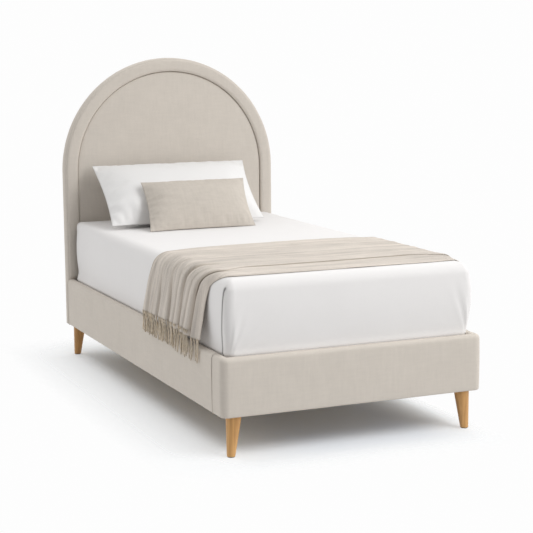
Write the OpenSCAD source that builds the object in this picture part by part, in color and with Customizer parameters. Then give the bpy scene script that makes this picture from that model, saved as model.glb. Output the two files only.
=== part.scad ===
// Single upholstered bed: arched headboard, padded rails, slatted base, mattress and bedding.
// Millimetres. The origin is the middle of the floor area, +Y points to the headboard, +Z up.

/* [Mattress] */
// Width of the mattress with its fitted sheet
mattress_w = 965; // [880:1:1100]
// Length of the mattress with its fitted sheet
mattress_l = 1905; // [1850:1:2030]
// Thickness of the mattress with its fitted sheet, crown included
mattress_h = 306; // [220:1:340]
// Radius of the mattress corners seen from above
mattress_corner_r = 32; // [20:1:80]
// Radius of the soft upper edge
mattress_edge_r = 50; // [30:1:80]
// Radius of the lower edge
mattress_low_r = 22; // [10:1:40]
// How far the sides and the foot end of the mattress swell out above the rails
mattress_bulge = 9; // [0:1:14]
// How far the middle of the top stands above its edges
mattress_crown = 6; // [0:1:15]
// Thickness of the fitted sheet
sheet_t = 2; // [1:0.5:3]
// Width of the sheet's hem under the mattress
sheet_hem = 70; // [40:5:150]

/* [Base] */
// Height of the rails' underside above the floor
leg_h = 150; // [100:1:220]
// Height of the padded rails
rail_h = 213; // [160:1:280]
// Thickness of the rail boards
board_t = 22; // [16:1:32]
// Foam and cloth outside the rail boards
rail_pad = 10; // [5:1:20]
// Foam and cloth on top of the rail boards
rail_top_pad = 9; // [4:1:16]
// Cloth turned in behind and under the rail boards
wrap_t = 3; // [1:0.5:5]
// How far the cloth comes down behind the boards
wrap_h = 36; // [20:1:60]
// Radius of the rails' upper outer edge
rail_edge_r = 12; // [4:1:16]
// Radius of the rails' upper inner edge
rail_inner_r = 8; // [2:1:12]
// Radius of the upright corners at the foot
foot_corner_r = 28; // [15:1:30]
// Length of the foot section's returns along the sides
foot_return = 97; // [85:1:150]
// Open line between the foot section and the side rails
seam_gap = 1; // [0.5:0.5:3]
// Room beside the mattress
side_fit = 5; // [2:1:15]
// Room between the mattress and the foot rail
foot_fit = 3; // [2:1:15]
// Room between the mattress and the headboard
head_fit = 2; // [1:1:15]

/* [Slats] */
// Number of slats
slat_count = 12; // [8:1:12]
// Width of a slat
slat_w = 89; // [60:1:110]
// Thickness of a slat
slat_t = 19; // [12:1:25]
// How far the mattress sits below the rails' top
mattress_sink = 28; // [10:1:60]
// Room beside a slat's ends
slat_end_fit = 2.5; // [1:0.5:6]
// Thickness of a slat ledger
ledger_t = 28; // [20:1:40]
// Height of a slat ledger
ledger_h = 40; // [25:1:60]
// Width of the webbing that spaces the slats
strap_w = 25; // [15:1:50]
// Thickness of the webbing
strap_t = 1.2; // [0.8:0.1:2]
// Distance of each webbing strap from the middle
strap_x = 250; // [120:5:350]

/* [Headboard] */
// How far the headboard's sides lie inside the rails' outer faces
head_inset = 7.5; // [0:0.5:12]
// Height of the top of the arch above the floor
head_top = 1374; // [1100:1:1500]
// Thickness of the plywood core
core_t = 15; // [12:1:20]
// Thickness of the battens behind the core
batten_t = 18; // [15:1:30]
// Width of the upright battens and of the arched rib
batten_w = 60; // [40:1:90]
// Width of the padded border
border_w = 58; // [40:1:90]
// Thickness of the padded border
border_t = 24; // [18:1:40]
// Thickness of the pad on the centre panel
panel_t = 14; // [8:1:17]
// Thickness of the padded band round the edge
band_t = 5; // [3:1:8]
// Thickness of the backing cloth with its board
back_t = 3; // [2:1:6]
// Radius of the border's outer edge
border_outer_r = 17; // [8:1:17]
// Radius of the border's inner edge
border_inner_r = 14; // [8:1:17]

/* [Legs and fittings] */
// Diameter of a leg at its top
leg_top_d = 58; // [40:1:62]
// Diameter of a leg at its foot
leg_foot_d = 30; // [22:1:45]
// Sideways lean of a leg in degrees
leg_lean_x = 5; // [0:0.5:8]
// Lengthways lean of a leg in degrees
leg_lean_y = 1.5; // [0:0.5:3]
// Distance of a leg's top from the bed's side
leg_inset_x = 60; // [50:1:66]
// Distance of a front leg's top from the foot rail's face
leg_inset_y = 47; // [44:1:54]
// Thickness of the glides under the legs
glide_t = 3; // [2:0.5:6]
// Width of a leg's mounting plate
plate_w = 56; // [52:1:57]
// Thickness of a leg's mounting plate
plate_t = 3; // [2:0.5:4]
// Width of the corner blocks at the foot
block_w = 65; // [60:1:80]
// Thickness of the steel corner brackets
bracket_t = 3; // [2:0.5:5]
// Height of the corner brackets
bracket_h = 80; // [50:1:100]
// Length of a bracket's arm along the side rail
bracket_arm = 60; // [50:1:80]
// Diameter of the bolts
bolt_d = 8; // [6:1:10]
// Diameter of the wood screws
screw_d = 4.5; // [3.5:0.5:5]
// Clearance round bolts and screws
bolt_fit = 0.2; // [0.1:0.1:0.6]

/* [Pillow and cushion] */
// Width of the pillow
pillow_w = 750; // [600:5:900]
// Height of the filled pillow
pillow_h = 455; // [400:5:550]
// Thickness of the pillow
pillow_t = 190; // [120:5:210]
// Lean of the pillow from level in degrees
pillow_lean = 31; // [20:1:45]
// Sideways place of the pillow's middle
pillow_x = -58; // [-100:1:100]
// Room between the pillow's upper edge and the headboard
pillow_head_gap = 42; // [20:1:80]
// Share by which the pillow is thinner at its upper edge than at its lower edge
pillow_sag = 0.35; // [0:0.05:0.5]
// Width of the small cushion
cushion_w = 495; // [350:5:600]
// Height of the small cushion
cushion_h = 300; // [200:5:350]
// Thickness of the small cushion
cushion_t = 115; // [60:5:140]
// Lean of the small cushion from level in degrees
cushion_lean = 40; // [28:1:50]
// Sideways place of the cushion's middle
cushion_x = -43; // [-150:1:150]
// Distance of the cushion's lower edge in front of the pillow's
cushion_step = 144; // [110:1:190]
// How far the pillow's upper edge is shifted against its lower edge, to each side
pillow_skew = 28; // [0:1:50]
// How far the cushion's upper edge is shifted against its lower edge, to each side
cushion_skew = 18; // [0:1:40]
// Height of the pillow's lower corners above the mattress edge
pillow_rise = 20; // [8:1:40]
// Height of the cushion's lower corners above the mattress edge
cushion_rise = 5; // [4:0.5:30]
// How far the pillow's and cushion's sides are drawn in
drawn_in = 22; // [0:1:40]

/* [Throw] */
// Distance of the throw's far edge from the foot rail's face
throw_far = 778; // [500:1:1200]
// Width of the folded throw on top of the bed
throw_w = 698; // [400:1:720]
// Width of the strip where only the lower layer shows
throw_strip = 150; // [40:1:200]
// How far the near edge draws in on the drops
throw_draw = 118; // [0:1:150]
// How far the far edge spreads back on the drops
throw_flare = 38; // [0:1:60]
// How far the cloth hangs below the mattress top
throw_drop = 230; // [160:1:260]
// Thickness of one layer of the throw
throw_t = 2.5; // [1.5:0.5:4]
// Number of folds on each drop
fold_count = 4.5; // [2:0.5:5]
// Depth of the folds at the hem
fold_depth = 16; // [0:1:25]
// Length of the fringe
fringe_l = 92; // [40:1:110]
// Number of tassels on each side
tassel_count = 42; // [20:1:60]
// Width of a tassel
tassel_w = 6; // [3:0.5:8]
// Thickness of a tassel
tassel_t = 3; // [2:0.5:4]
// Room between the tassels and the rail's face
fringe_fit = 1.5; // [0.5:0.5:10]
// Gap between soft pieces that rest on each other
rest_gap = 0.4; // [0.3:0.1:2]

/* [Hidden] */

$fn = 24;
linen = [0.76, 0.72, 0.67];
oak = [0.72, 0.54, 0.34];
pine = [0.83, 0.70, 0.50];
steel = [0.62, 0.63, 0.65];
white = [0.93, 0.93, 0.92];
sand = [0.82, 0.78, 0.72];

rail_t = rail_pad + board_t + wrap_t;
head_t = border_t + core_t + batten_t + back_t;
bed_w = mattress_w + 2 * side_fit + 2 * rail_t;
bed_l = rail_t + foot_fit + mattress_l + head_fit + head_t;
half_w = bed_w / 2;
y_foot = -bed_l / 2;
y_back = bed_l / 2;
y_front = y_back - head_t;
y_core = y_front + border_t;
y_batten = y_core + core_t;
y_cloth = y_batten + batten_t;
y_rail_in = y_foot + rail_t;
y_board_in = y_foot + rail_pad + board_t;
y_seam = y_foot + foot_return;
rail_top = leg_h + rail_h;
z_board = leg_h + wrap_t;
z_board_top = rail_top - rail_top_pad;
x_board = half_w - rail_pad;
x_board_in = x_board - board_t;
x_rail_in = half_w - rail_t;
z_slat_top = rail_top - mattress_sink;
z_slat = z_slat_top - slat_t;
z_ledger = z_slat - ledger_h;
x_ledger_in = x_board_in - ledger_t;

head_half = half_w - head_inset;
core_half = head_half - band_t;
panel_half = head_half - border_w;
z_spring = head_top - head_half;

mattress_y = y_rail_in + foot_fit + mattress_l / 2;
mattress_half = mattress_w / 2;
mattress_low = z_slat_top + rest_gap;
mattress_top = mattress_low + mattress_h;

block_y = y_seam - seam_gap;
bracket_z = (leg_h + z_ledger - bracket_h) / 2;
bolt_row_share = 0.3;
bolt_rows = [bracket_z + bracket_h * bolt_row_share, bracket_z + bracket_h * (1 - bolt_row_share)];
head_bolt_x = (x_rail_in + panel_half) / 2;
foot_bolt_share = 0.55;
foot_bolt_x = x_board_in - block_w * foot_bolt_share;
bracket_back = 4;
bracket_screw_share = 0.7;
bolt_head_d = bolt_d * 2;
bolt_head_t = bolt_d * 0.6;
screw_head_d = screw_d * 2;
bolt_depth = 40;
screw_depth = 18;
screw_head_t = 2.5;
plate_screw_depth = 22;
plate_hole = plate_w * 0.4;
plate_room = 1;
hanger_depth = 30;
hanger_rise = 10;
pocket_room = 3;
pocket_d = bolt_d + 2 * pocket_room;
pocket_h = hanger_rise + pocket_room + 1;
nut_flange_d = 22;
nut_flange_t = 1.6;
nut_wall = 1.2;
nut_barrel_d = bolt_d + 2 * nut_wall;
nut_barrel_l = 10;

leg_places = [
    [-(half_w - leg_inset_x), y_foot + leg_inset_y, -1, -1],
    [half_w - leg_inset_x, y_foot + leg_inset_y, 1, -1],
    [-(half_w - leg_inset_x), (y_front + y_cloth) / 2, -1, 1],
    [half_w - leg_inset_x, (y_front + y_cloth) / 2, 1, 1]];

slat_foot_room = 2;
slat_head_room = 6;
slat_first = y_rail_in + slat_foot_room + slat_w / 2;
slat_last = y_front - slat_head_room - slat_w / 2;
slat_pitch = (slat_last - slat_first) / (slat_count - 1);
slat_half = x_rail_in - slat_end_fit;
slat_screw_x = (slat_half + x_ledger_in) / 2;
slat_screw_l = slat_t + 20;
ledger_screw_l = ledger_t + 12;
ledger_screws_n = 6;
ledger_screw_room = 40;
ledger_screw_rise = ledger_h * 0.4;
arch_facets = 180;

// Points of an arc from angle a to angle b
function arc(cx, cy, r, a, b, n = 6) =
    [for (i = [0 : n]) [cx + r * cos(a + (b - a) * i / n), cy + r * sin(a + (b - a) * i / n)]];

function mix(a, b, t) = a + (b - a) * t;
function smooth(t) = let (c = min(1, max(0, t))) c * c * (3 - 2 * c);

// Section of a padded rail: x runs inwards from the outer face, y is the height
function rail_section(depth) = concat(
    [[depth, leg_h]],
    [[depth, rail_top - rail_inner_r]],
    arc(depth - rail_inner_r, rail_top - rail_inner_r, rail_inner_r, 0, 90),
    arc(rail_edge_r, rail_top - rail_edge_r, rail_edge_r, 90, 180),
    [[0, leg_h]]);

// Section of a rail's outer half, turned round the upright corner at the foot
function corner_section() = concat(
    [[0, leg_h], [foot_corner_r, leg_h]],
    arc(foot_corner_r - rail_edge_r, rail_top - rail_edge_r, rail_edge_r, 0, 90),
    [[0, rail_top]]);

module box(lo, hi) {
    translate(lo) cube(hi - lo);
}

// A section in x and z carried along y
module along_y(y0, y1) {
    translate([0, y1, 0]) rotate([90, 0, 0]) linear_extrude(y1 - y0) children();
}

// A section in y and z carried along x
module along_x(x0, x1) {
    translate([x0, 0, 0]) rotate([90, 0, 90]) linear_extrude(x1 - x0) children();
}

module both_sides() {
    children();
    mirror([1, 0, 0]) children();
}

// Arched slab between two planes, with its upper half round
module arch_slab(half, y0, y1, z0) {
    box([-half, y0, z0], [half, y1, z_spring]);
    translate([0, y1, z_spring]) rotate([90, 0, 0]) cylinder(r = half, h = y1 - y0, $fn = arch_facets);
}

// A section given in distance from the middle and depth, carried up the sides and over the arch
module over_arch(points, z0) {
    both_sides() translate([0, 0, z0]) linear_extrude(z_spring - z0) polygon(points);
    translate([0, 0, z_spring]) rotate([-90, 0, 0]) rotate([0, 0, 180])
        rotate_extrude(angle = 180, $fn = arch_facets) polygon(points);
}

module bolt_y(x, y, z, d, l) {
    translate([x, y, z]) rotate([-90, 0, 0]) cylinder(d = d, h = l);
}

module bolt_x(x, y, z, d, l) {
    translate([x, y, z]) rotate([0, 90, 0]) cylinder(d = d, h = l);
}

module bolt_z(x, y, z, d, l) {
    translate([x, y, z]) cylinder(d = d, h = l);
}

// Headboard

module head_bolt_holes() {
    both_sides() for (z = bolt_rows)
        bolt_y(head_bolt_x, y_front - 10, z, bolt_d + 2 * bolt_fit, head_t);
}

module leg_pockets() {
    for (p = leg_places) bolt_z(p[0], p[1], z_board - 1, pocket_d, pocket_h + 1);
}

module headboard_core() {
    color(pine) difference() {
        arch_slab(core_half, y_core, y_batten, z_board);
        head_bolt_holes();
        leg_pockets();
    }
}

module stile() {
    difference() {
        box([core_half - batten_w, y_batten, z_board], [core_half, y_cloth, z_spring]);
        for (z = bolt_rows) {
            bolt_y(head_bolt_x, y_batten - 1, z, nut_barrel_d + 2 * bolt_fit, batten_t + 2);
            bolt_y(head_bolt_x, y_cloth - nut_flange_t, z, nut_flange_d + 2 * bolt_fit, batten_t);
        }
        plate_screw_holes();
    }
}

module headboard_stile_left() {
    color(pine) mirror([1, 0, 0]) stile();
}

module headboard_stile_right() {
    color(pine) stile();
}

module headboard_arch_rib() {
    color(pine) translate([0, y_cloth, z_spring]) rotate([90, 0, 0])
        rotate_extrude(angle = 180, $fn = arch_facets)
            translate([core_half - batten_w, 0]) square([batten_w, batten_t]);
}

module cross_batten(z) {
    color(pine) box([-(core_half - batten_w), y_batten, z],
        [core_half - batten_w, y_cloth, z + batten_w]);
}

module headboard_lower_batten() {
    cross_batten(z_slat);
}

module headboard_upper_batten() {
    cross_batten(z_spring - batten_w);
}

// Centre panel pad with a soft edge that drops into the groove beside the border
module headboard_panel_pad() {
    soft = panel_t * 0.5;
    section = concat(
        [[0, y_core], [panel_half, y_core]],
        arc(panel_half - soft, y_core - panel_t + soft, soft, 0, -90),
        [[0, y_core - panel_t]]);
    color(linen) over_arch(section, z_board);
}

// Padded roll round the panel: straight up the sides, then over the arch
module headboard_border_pad() {
    section = concat(
        [[panel_half, y_core]],
        arc(panel_half + border_inner_r, y_front + border_inner_r, border_inner_r, 180, 270, 7),
        arc(head_half - border_outer_r, y_front + border_outer_r, border_outer_r, 270, 360, 7),
        [[head_half, y_core]]);
    color(linen) over_arch(section, rail_top);
}

module headboard_side_band() {
    color(linen) difference() {
        arch_slab(head_half, y_core, y_cloth, leg_h);
        arch_slab(core_half, y_core - 1, y_cloth + 1, leg_h - 1);
    }
}

module headboard_back_cloth() {
    color(linen) arch_slab(head_half, y_cloth, y_back, leg_h);
}

// Hard seat for the end of a side rail, below the border's end
module rail_seat() {
    difference() {
        box([panel_half, y_front, z_board], [head_half, y_core, rail_top]);
        head_bolt_holes();
        leg_pockets();
        plate_screw_holes();
    }
}

module rail_seat_left() {
    color(linen) mirror([1, 0, 0]) rail_seat();
}

module rail_seat_right() {
    color(linen) rail_seat();
}

// Foot section

module foot_plank() {
    box([-x_board, y_foot + rail_pad, z_board], [x_board, y_board_in, z_board_top]);
}

module return_plank() {
    box([x_board_in, y_board_in, z_board], [x_board, block_y, z_board_top]);
}

module foot_board() {
    color(pine) difference() {
        foot_plank();
        leg_pockets();
        plate_screw_holes();
    }
}

module foot_return_right() {
    color(pine) difference() {
        return_plank();
        plate_screw_holes();
    }
}

module foot_return_left() {
    mirror([1, 0, 0]) foot_return_right();
}

// One cover over the foot rail and both returns, turned in over the top and underneath
module foot_cover() {
    color(linen) difference() {
        union() {
            along_x(-half_w + foot_corner_r, half_w - foot_corner_r)
                translate([y_foot, 0]) polygon(rail_section(rail_t));
            both_sides() {
                along_y(y_foot + foot_corner_r, block_y)
                    translate([half_w, 0]) mirror([1, 0]) polygon(rail_section(rail_t));
                translate([half_w - foot_corner_r, y_foot + foot_corner_r, 0])
                    rotate([0, 0, -90]) rotate_extrude(angle = 90, $fn = 96)
                        polygon(corner_section());
            }
        }
        foot_plank();
        both_sides() return_plank();
        box([-x_board_in, y_board_in, leg_h - 1],
            [x_board_in, y_seam + 1, z_board_top - wrap_h]);
        plate_clearance();
    }
}

// Side rails

module side_board_right() {
    color(pine) difference() {
        box([x_board_in, y_seam, z_board], [x_board, y_front, z_board_top]);
        bracket_screw_holes();
        ledger_screw_holes();
    }
}

module side_board_left() {
    mirror([1, 0, 0]) side_board_right();
}

module side_cover_right() {
    color(linen) difference() {
        along_y(y_seam, y_front) translate([half_w, 0]) mirror([1, 0])
            polygon(rail_section(rail_t));
        box([x_board_in, y_seam - 1, z_board], [x_board, y_front + 1, z_board_top]);
        box([x_rail_in - 1, y_seam - 1, leg_h - 1],
            [x_board_in, y_front + 1, z_board_top - wrap_h]);
        plate_clearance();
    }
}

module side_cover_left() {
    mirror([1, 0, 0]) side_cover_right();
}

module ledger_right() {
    color(pine) difference() {
        box([x_ledger_in, block_y, z_ledger], [x_board_in, y_front, z_slat]);
        slat_screw_holes();
        ledger_screw_holes();
    }
}

module ledger_left() {
    mirror([1, 0, 0]) ledger_right();
}

module corner_block_right() {
    color(pine) difference() {
        box([x_board_in - block_w, y_board_in, z_board], [x_board_in, block_y, z_slat]);
        for (z = bolt_rows)
            bolt_y(foot_bolt_x, block_y - bolt_depth, z, bolt_d + 2 * bolt_fit, bolt_depth + 1);
        leg_pockets();
        plate_screw_holes();
        slat_screw_holes();
    }
}

module corner_block_left() {
    mirror([1, 0, 0]) corner_block_right();
}

// Slats

function slat_y(i) = slat_first + (i - 1) * slat_pitch;

module slat_screw_holes() {
    both_sides() for (i = [1 : slat_count])
        bolt_z(slat_screw_x, slat_y(i), z_slat_top - slat_screw_l,
            screw_d + 2 * bolt_fit, slat_screw_l + 1);
}

module slat(i) {
    color(pine) difference() {
        box([-slat_half, slat_y(i) - slat_w / 2, z_slat], [slat_half, slat_y(i) + slat_w / 2, z_slat_top]);
        both_sides() {
            bolt_z(slat_screw_x, slat_y(i), z_slat - 1, screw_d + 2 * bolt_fit, slat_t + 2);
            bolt_z(slat_screw_x, slat_y(i), z_slat_top - screw_head_t - bolt_fit,
                screw_head_d + 2 * bolt_fit, screw_head_t + 1);
        }
    }
}

module slat_straps() {
    color(white) both_sides()
        box([strap_x - strap_w / 2, slat_y(1) - slat_w / 2, z_slat - strap_t],
            [strap_x + strap_w / 2, slat_y(slat_count) + slat_w / 2, z_slat]);
}

module slat_screws() {
    color(steel) both_sides() for (i = [1 : slat_count]) {
        bolt_z(slat_screw_x, slat_y(i), z_slat_top - slat_screw_l, screw_d, slat_screw_l - screw_head_t);
        bolt_z(slat_screw_x, slat_y(i), z_slat_top - screw_head_t, screw_head_d, screw_head_t);
    }
}

// Legs

module leaning(p) {
    translate([p[0], p[1], leg_h]) rotate([p[3] * leg_lean_y, -p[2] * leg_lean_x, 0]) children();
}

module leg(k) {
    p = leg_places[k];
    over = 12;
    slope = (leg_top_d - leg_foot_d) / 2 / leg_h;
    color(oak) difference() {
        intersection() {
            leaning(p) translate([0, 0, -leg_h - over])
                cylinder(r1 = leg_foot_d / 2 - slope * over, r2 = leg_top_d / 2 + slope * over,
                    h = leg_h + 2 * over, $fn = 64);
            box([p[0] - leg_top_d, p[1] - leg_top_d, glide_t],
                [p[0] + leg_top_d, p[1] + leg_top_d, leg_h]);
        }
        leaning(p) translate([0, 0, -hanger_depth - bolt_fit])
            cylinder(d = bolt_d + 2 * bolt_fit, h = hanger_depth + over);
    }
}

module leg_bolts() {
    color(steel) for (p = leg_places) leaning(p) translate([0, 0, -hanger_depth])
        cylinder(d = bolt_d, h = hanger_depth + hanger_rise);
}

module leg_glides() {
    reach = leg_h - glide_t;
    color([0.25, 0.25, 0.25]) for (p = leg_places)
        translate([p[0] + p[2] * reach * tan(leg_lean_x), p[1] + p[3] * reach * tan(leg_lean_y), 0])
            cylinder(d = leg_foot_d - 4, h = glide_t, $fn = 48);
}

module plate_outline(extra) {
    for (p = leg_places)
        box([p[0] - plate_w / 2 - extra, p[1] - plate_w / 2 - extra, leg_h],
            [p[0] + plate_w / 2 + extra, p[1] + plate_w / 2 + extra, leg_h + plate_t]);
}

module plate_clearance() {
    plate_outline(plate_room);
}

module leg_plates() {
    color(steel) difference() {
        plate_outline(0);
        for (p = leg_places) leaning(p) translate([0, 0, -10])
            cylinder(d = bolt_d + 2 * bolt_fit, h = 30);
        plate_screw_holes();
    }
}

// Screws near each plate's outer edge, where solid timber lies above
module at_plate_screws() {
    for (p = leg_places, s = [-1, 1])
        translate([p[0] + plate_hole * p[2], p[1] + plate_hole * s, 0]) children();
}

module plate_screw_holes() {
    at_plate_screws() translate([0, 0, leg_h - 1])
        cylinder(d = screw_d + 2 * bolt_fit, h = plate_screw_depth + 2);
}

module plate_screws() {
    color(steel) at_plate_screws() translate([0, 0, leg_h])
        cylinder(d = screw_d, h = plate_screw_depth);
}

// Brackets and fasteners

module foot_brackets() {
    color(steel) both_sides() difference() {
        union() {
            box([x_board_in - block_w + bracket_back, block_y, bracket_z],
                [x_board_in, block_y + bracket_t, bracket_z + bracket_h]);
            box([x_board_in - bracket_t, block_y, bracket_z],
                [x_board_in, block_y + bracket_arm, bracket_z + bracket_h]);
        }
        for (z = bolt_rows)
            bolt_y(foot_bolt_x, block_y - 1, z, bolt_d + 2 * bolt_fit, bracket_t + 2);
        bracket_screw_holes();
    }
}

module head_brackets() {
    color(steel) both_sides() difference() {
        union() {
            box([panel_half, y_front - bracket_t, bracket_z],
                [x_board_in, y_front, bracket_z + bracket_h]);
            box([x_board_in - bracket_t, y_front - bracket_arm, bracket_z],
                [x_board_in, y_front, bracket_z + bracket_h]);
        }
        head_bolt_holes();
        bracket_screw_holes();
    }
}

module at_bracket_screws() {
    for (y = [block_y, y_front] + bracket_arm * bracket_screw_share * [1, -1], z = bolt_rows)
        translate([x_board_in, y, z]) rotate([0, 90, 0]) children();
}

module bracket_screw_holes() {
    at_bracket_screws() translate([0, 0, -bracket_t - 1])
        cylinder(d = screw_d + 2 * bolt_fit, h = bracket_t + screw_depth + 2);
}

module bracket_screws() {
    color(steel) both_sides() at_bracket_screws() {
        translate([0, 0, -bracket_t]) cylinder(d = screw_d, h = bracket_t + screw_depth);
        translate([0, 0, -bracket_t - screw_head_t]) cylinder(d = screw_head_d, h = screw_head_t);
    }
}

module bracket_bolts() {
    head_l = core_t + border_t + bracket_t + batten_t - nut_flange_t;
    color(steel) both_sides() for (z = bolt_rows) {
        bolt_y(foot_bolt_x, block_y + bracket_t - bolt_depth, z, bolt_d, bolt_depth);
        bolt_y(foot_bolt_x, block_y + bracket_t, z, bolt_head_d, bolt_head_t);
        bolt_y(head_bolt_x, y_front - bracket_t, z, bolt_d, head_l);
        bolt_y(head_bolt_x, y_front - bracket_t - bolt_head_t, z, bolt_head_d, bolt_head_t);
    }
}

module tee_nuts() {
    color(steel) both_sides() for (z = bolt_rows) difference() {
        union() {
            bolt_y(head_bolt_x, y_cloth - nut_flange_t, z, nut_flange_d, nut_flange_t);
            bolt_y(head_bolt_x, y_cloth - nut_flange_t - nut_barrel_l, z, nut_barrel_d, nut_barrel_l);
        }
        bolt_y(head_bolt_x, y_batten, z, bolt_d + 2 * bolt_fit, batten_t + 2);
    }
}

module at_ledger_screws() {
    first = block_y + bracket_arm + ledger_screw_room;
    last = y_front - bracket_arm - ledger_screw_room;
    for (i = [0 : ledger_screws_n - 1])
        translate([x_ledger_in, mix(first, last, i / (ledger_screws_n - 1)), z_ledger + ledger_screw_rise])
            rotate([0, 90, 0]) children();
}

module ledger_screw_holes() {
    at_ledger_screws() {
        translate([0, 0, -1]) cylinder(d = screw_d + 2 * bolt_fit, h = ledger_screw_l + 2);
        translate([0, 0, -1]) cylinder(d = screw_head_d + 2 * bolt_fit, h = 1 + screw_head_t + bolt_fit);
    }
}

module ledger_screws() {
    color(steel) both_sides() at_ledger_screws() {
        cylinder(d = screw_d, h = ledger_screw_l);
        cylinder(d = screw_head_d, h = screw_head_t);
    }
}

// Mattress

corner_n = 5;
edge_bulge = mattress_bulge * swell(1);
flat_half = mattress_half + edge_bulge - mattress_edge_r;
flat_l = mattress_l / 2 - mattress_edge_r;
z_edge = mattress_top - mattress_crown - mattress_edge_r;

// Height of the mattress top with its crown
function top_z(x, y) =
    let (k = min(1, max(abs(x) / flat_half, abs(y - mattress_y) / flat_l)))
    mattress_top - mattress_crown * k * k;

// Ring of points round a rounded rectangle at one height, swollen at the sides and the foot end
function rounded_ring(hx, hy, r, z, out = 0) =
    let (q = max(r, 0.5))
    [for (c = [0 : 3], i = [0 : corner_n])
        let (a = 90 * c + 90 * i / corner_n,
             sx = (c == 0 || c == 3) ? 1 : -1,
             sy = (c < 2) ? 1 : -1)
        [sx * (hx + out - q) + q * cos(a),
         mattress_y + sy * (hy - q) + q * sin(a) - (sy < 0 ? out : 0), z]];

// Share of the side's swelling at a height: none at the rails, most at two thirds, less at the top
function swell(t) = sin(135 * t);

// Rings from the underside over the swelling sides to the crowned top
function mattress_rings(skin) =
    let (hx = mattress_half - skin, hy = mattress_l / 2 - skin, z0 = mattress_low + skin,
         z1 = mattress_top - mattress_crown - skin,
         rt = mattress_edge_r - skin, rb = mattress_low_r - skin, rc = mattress_corner_r - skin)
    concat(
        [for (i = [0 : 3]) let (a = 30 * i, d = rb * (1 - sin(a)))
            rounded_ring(hx - d, hy - d, rc - d, z0 + rb * (1 - cos(a)))],
        [for (i = [1 : 4]) let (t = i / 5)
            rounded_ring(hx, hy, rc, mix(z0 + rb, z1 - rt, t), mattress_bulge * swell(t))],
        [for (i = [0 : 5]) let (a = 18 * i, d = rt * (1 - cos(a)))
            rounded_ring(hx - d, hy - d, rc - d, z1 - rt * (1 - sin(a)), edge_bulge)],
        [for (k = [0.7, 0.35])
            rounded_ring(k * (hx + edge_bulge - rt), k * (hy - rt), 0,
                z1 + mattress_crown * (1 - k * k), k * edge_bulge)]);

module ring_solid(rings) {
    n = len(rings[0]);
    m = len(rings);
    polyhedron(
        points = [for (r = rings, p = r) p],
        faces = concat(
            [for (j = [0 : m - 2], i = [0 : n - 1], k = [0, 1])
                let (a = j * n + i, b = j * n + (i + 1) % n, c = a + n, d = b + n)
                k == 0 ? [a, c, b] : [b, c, d]],
            [for (i = [1 : n - 2]) [0, i, i + 1]],
            [for (i = [1 : n - 2]) [(m - 1) * n, (m - 1) * n + i + 1, (m - 1) * n + i]]));
}

module mattress() {
    color(white) ring_solid(mattress_rings(sheet_t));
}

// Fitted sheet: a skin over the top and sides, with a hem turned in underneath
module fitted_sheet() {
    open_x = mattress_half - mattress_low_r - sheet_hem;
    open_y = mattress_l / 2 - mattress_low_r - sheet_hem;
    color(white) difference() {
        ring_solid(mattress_rings(0));
        ring_solid(mattress_rings(sheet_t));
        box([-open_x, mattress_y - open_y, mattress_low - 1],
            [open_x, mattress_y + open_y, mattress_low + sheet_t + 1]);
    }
}

// Pillow and cushion

// Soft form between two seamed faces: u and v run from -1 to 1 over its width and height
function soft_x(w, u, v) = w / 2 * u - drawn_in * (1 - v * v) * u * u * u;
function soft_y(h, u, v) = h / 2 * v - drawn_in * (1 - u * u) * v * v * v;
function soft_t(u, v, sag) =
    pow((1 - pow(abs(u), seam_squareness)) * (1 - pow(abs(v), seam_squareness)), seam_fullness)
    * (1 - sag * (v + 1) / 2);

up = function (lean) [0, cos(lean), sin(lean)];
out = function (lean) [0, -sin(lean), cos(lean)];

pillow_front_share = 0.52;
pillow_front = pillow_t * pillow_front_share;
pillow_rear = pillow_t - pillow_front;
cushion_front_share = 0.55;
cushion_front = cushion_t * cushion_front_share;
cushion_rear = cushion_t - cushion_front;
seam_squareness = 3;
seam_fullness = 0.6;
pillow_grid = [20, 14];
cushion_grid = [18, 12];
pillow_mid = [pillow_x,
    y_front - pillow_head_gap - pillow_h / 2 * cos(pillow_lean),
    mattress_top - mattress_crown + pillow_rise + pillow_h / 2 * sin(pillow_lean)];
cushion_mid = [cushion_x,
    pillow_mid[1] - pillow_h / 2 * cos(pillow_lean) - cushion_step + cushion_h / 2 * cos(cushion_lean),
    mattress_top - mattress_crown + cushion_rise + cushion_h / 2 * sin(cushion_lean)];

// Keeps a point above the mattress and in front of the headboard
function seated(p) =
    [p[0], min(p[1], y_front - rest_gap), max(p[2], top_z(p[0], p[1]) + rest_gap)];

// Keeps a point of the cushion in front of the pillow's face
function before_pillow(p) =
    let (r = p - pillow_mid, v = 2 * (r * up(pillow_lean)) / pillow_h,
         u = 2 * (r[0] - pillow_skew * v) / pillow_w,
         lift = r * out(pillow_lean),
         face = (abs(u) < 1 && abs(v) < 1) ? pillow_front * soft_t(u, v, pillow_sag) + 2 * rest_gap : lift)
    lift < face ? p + (face - lift) * out(pillow_lean) : p;

function soft_point(mid, w, h, t, lean, skew, sag, u, v) =
    mid + [soft_x(w, u, v) + skew * v, 0, 0] + soft_y(h, u, v) * up(lean)
    + t * soft_t(u, v, sag) * out(lean);

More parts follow.
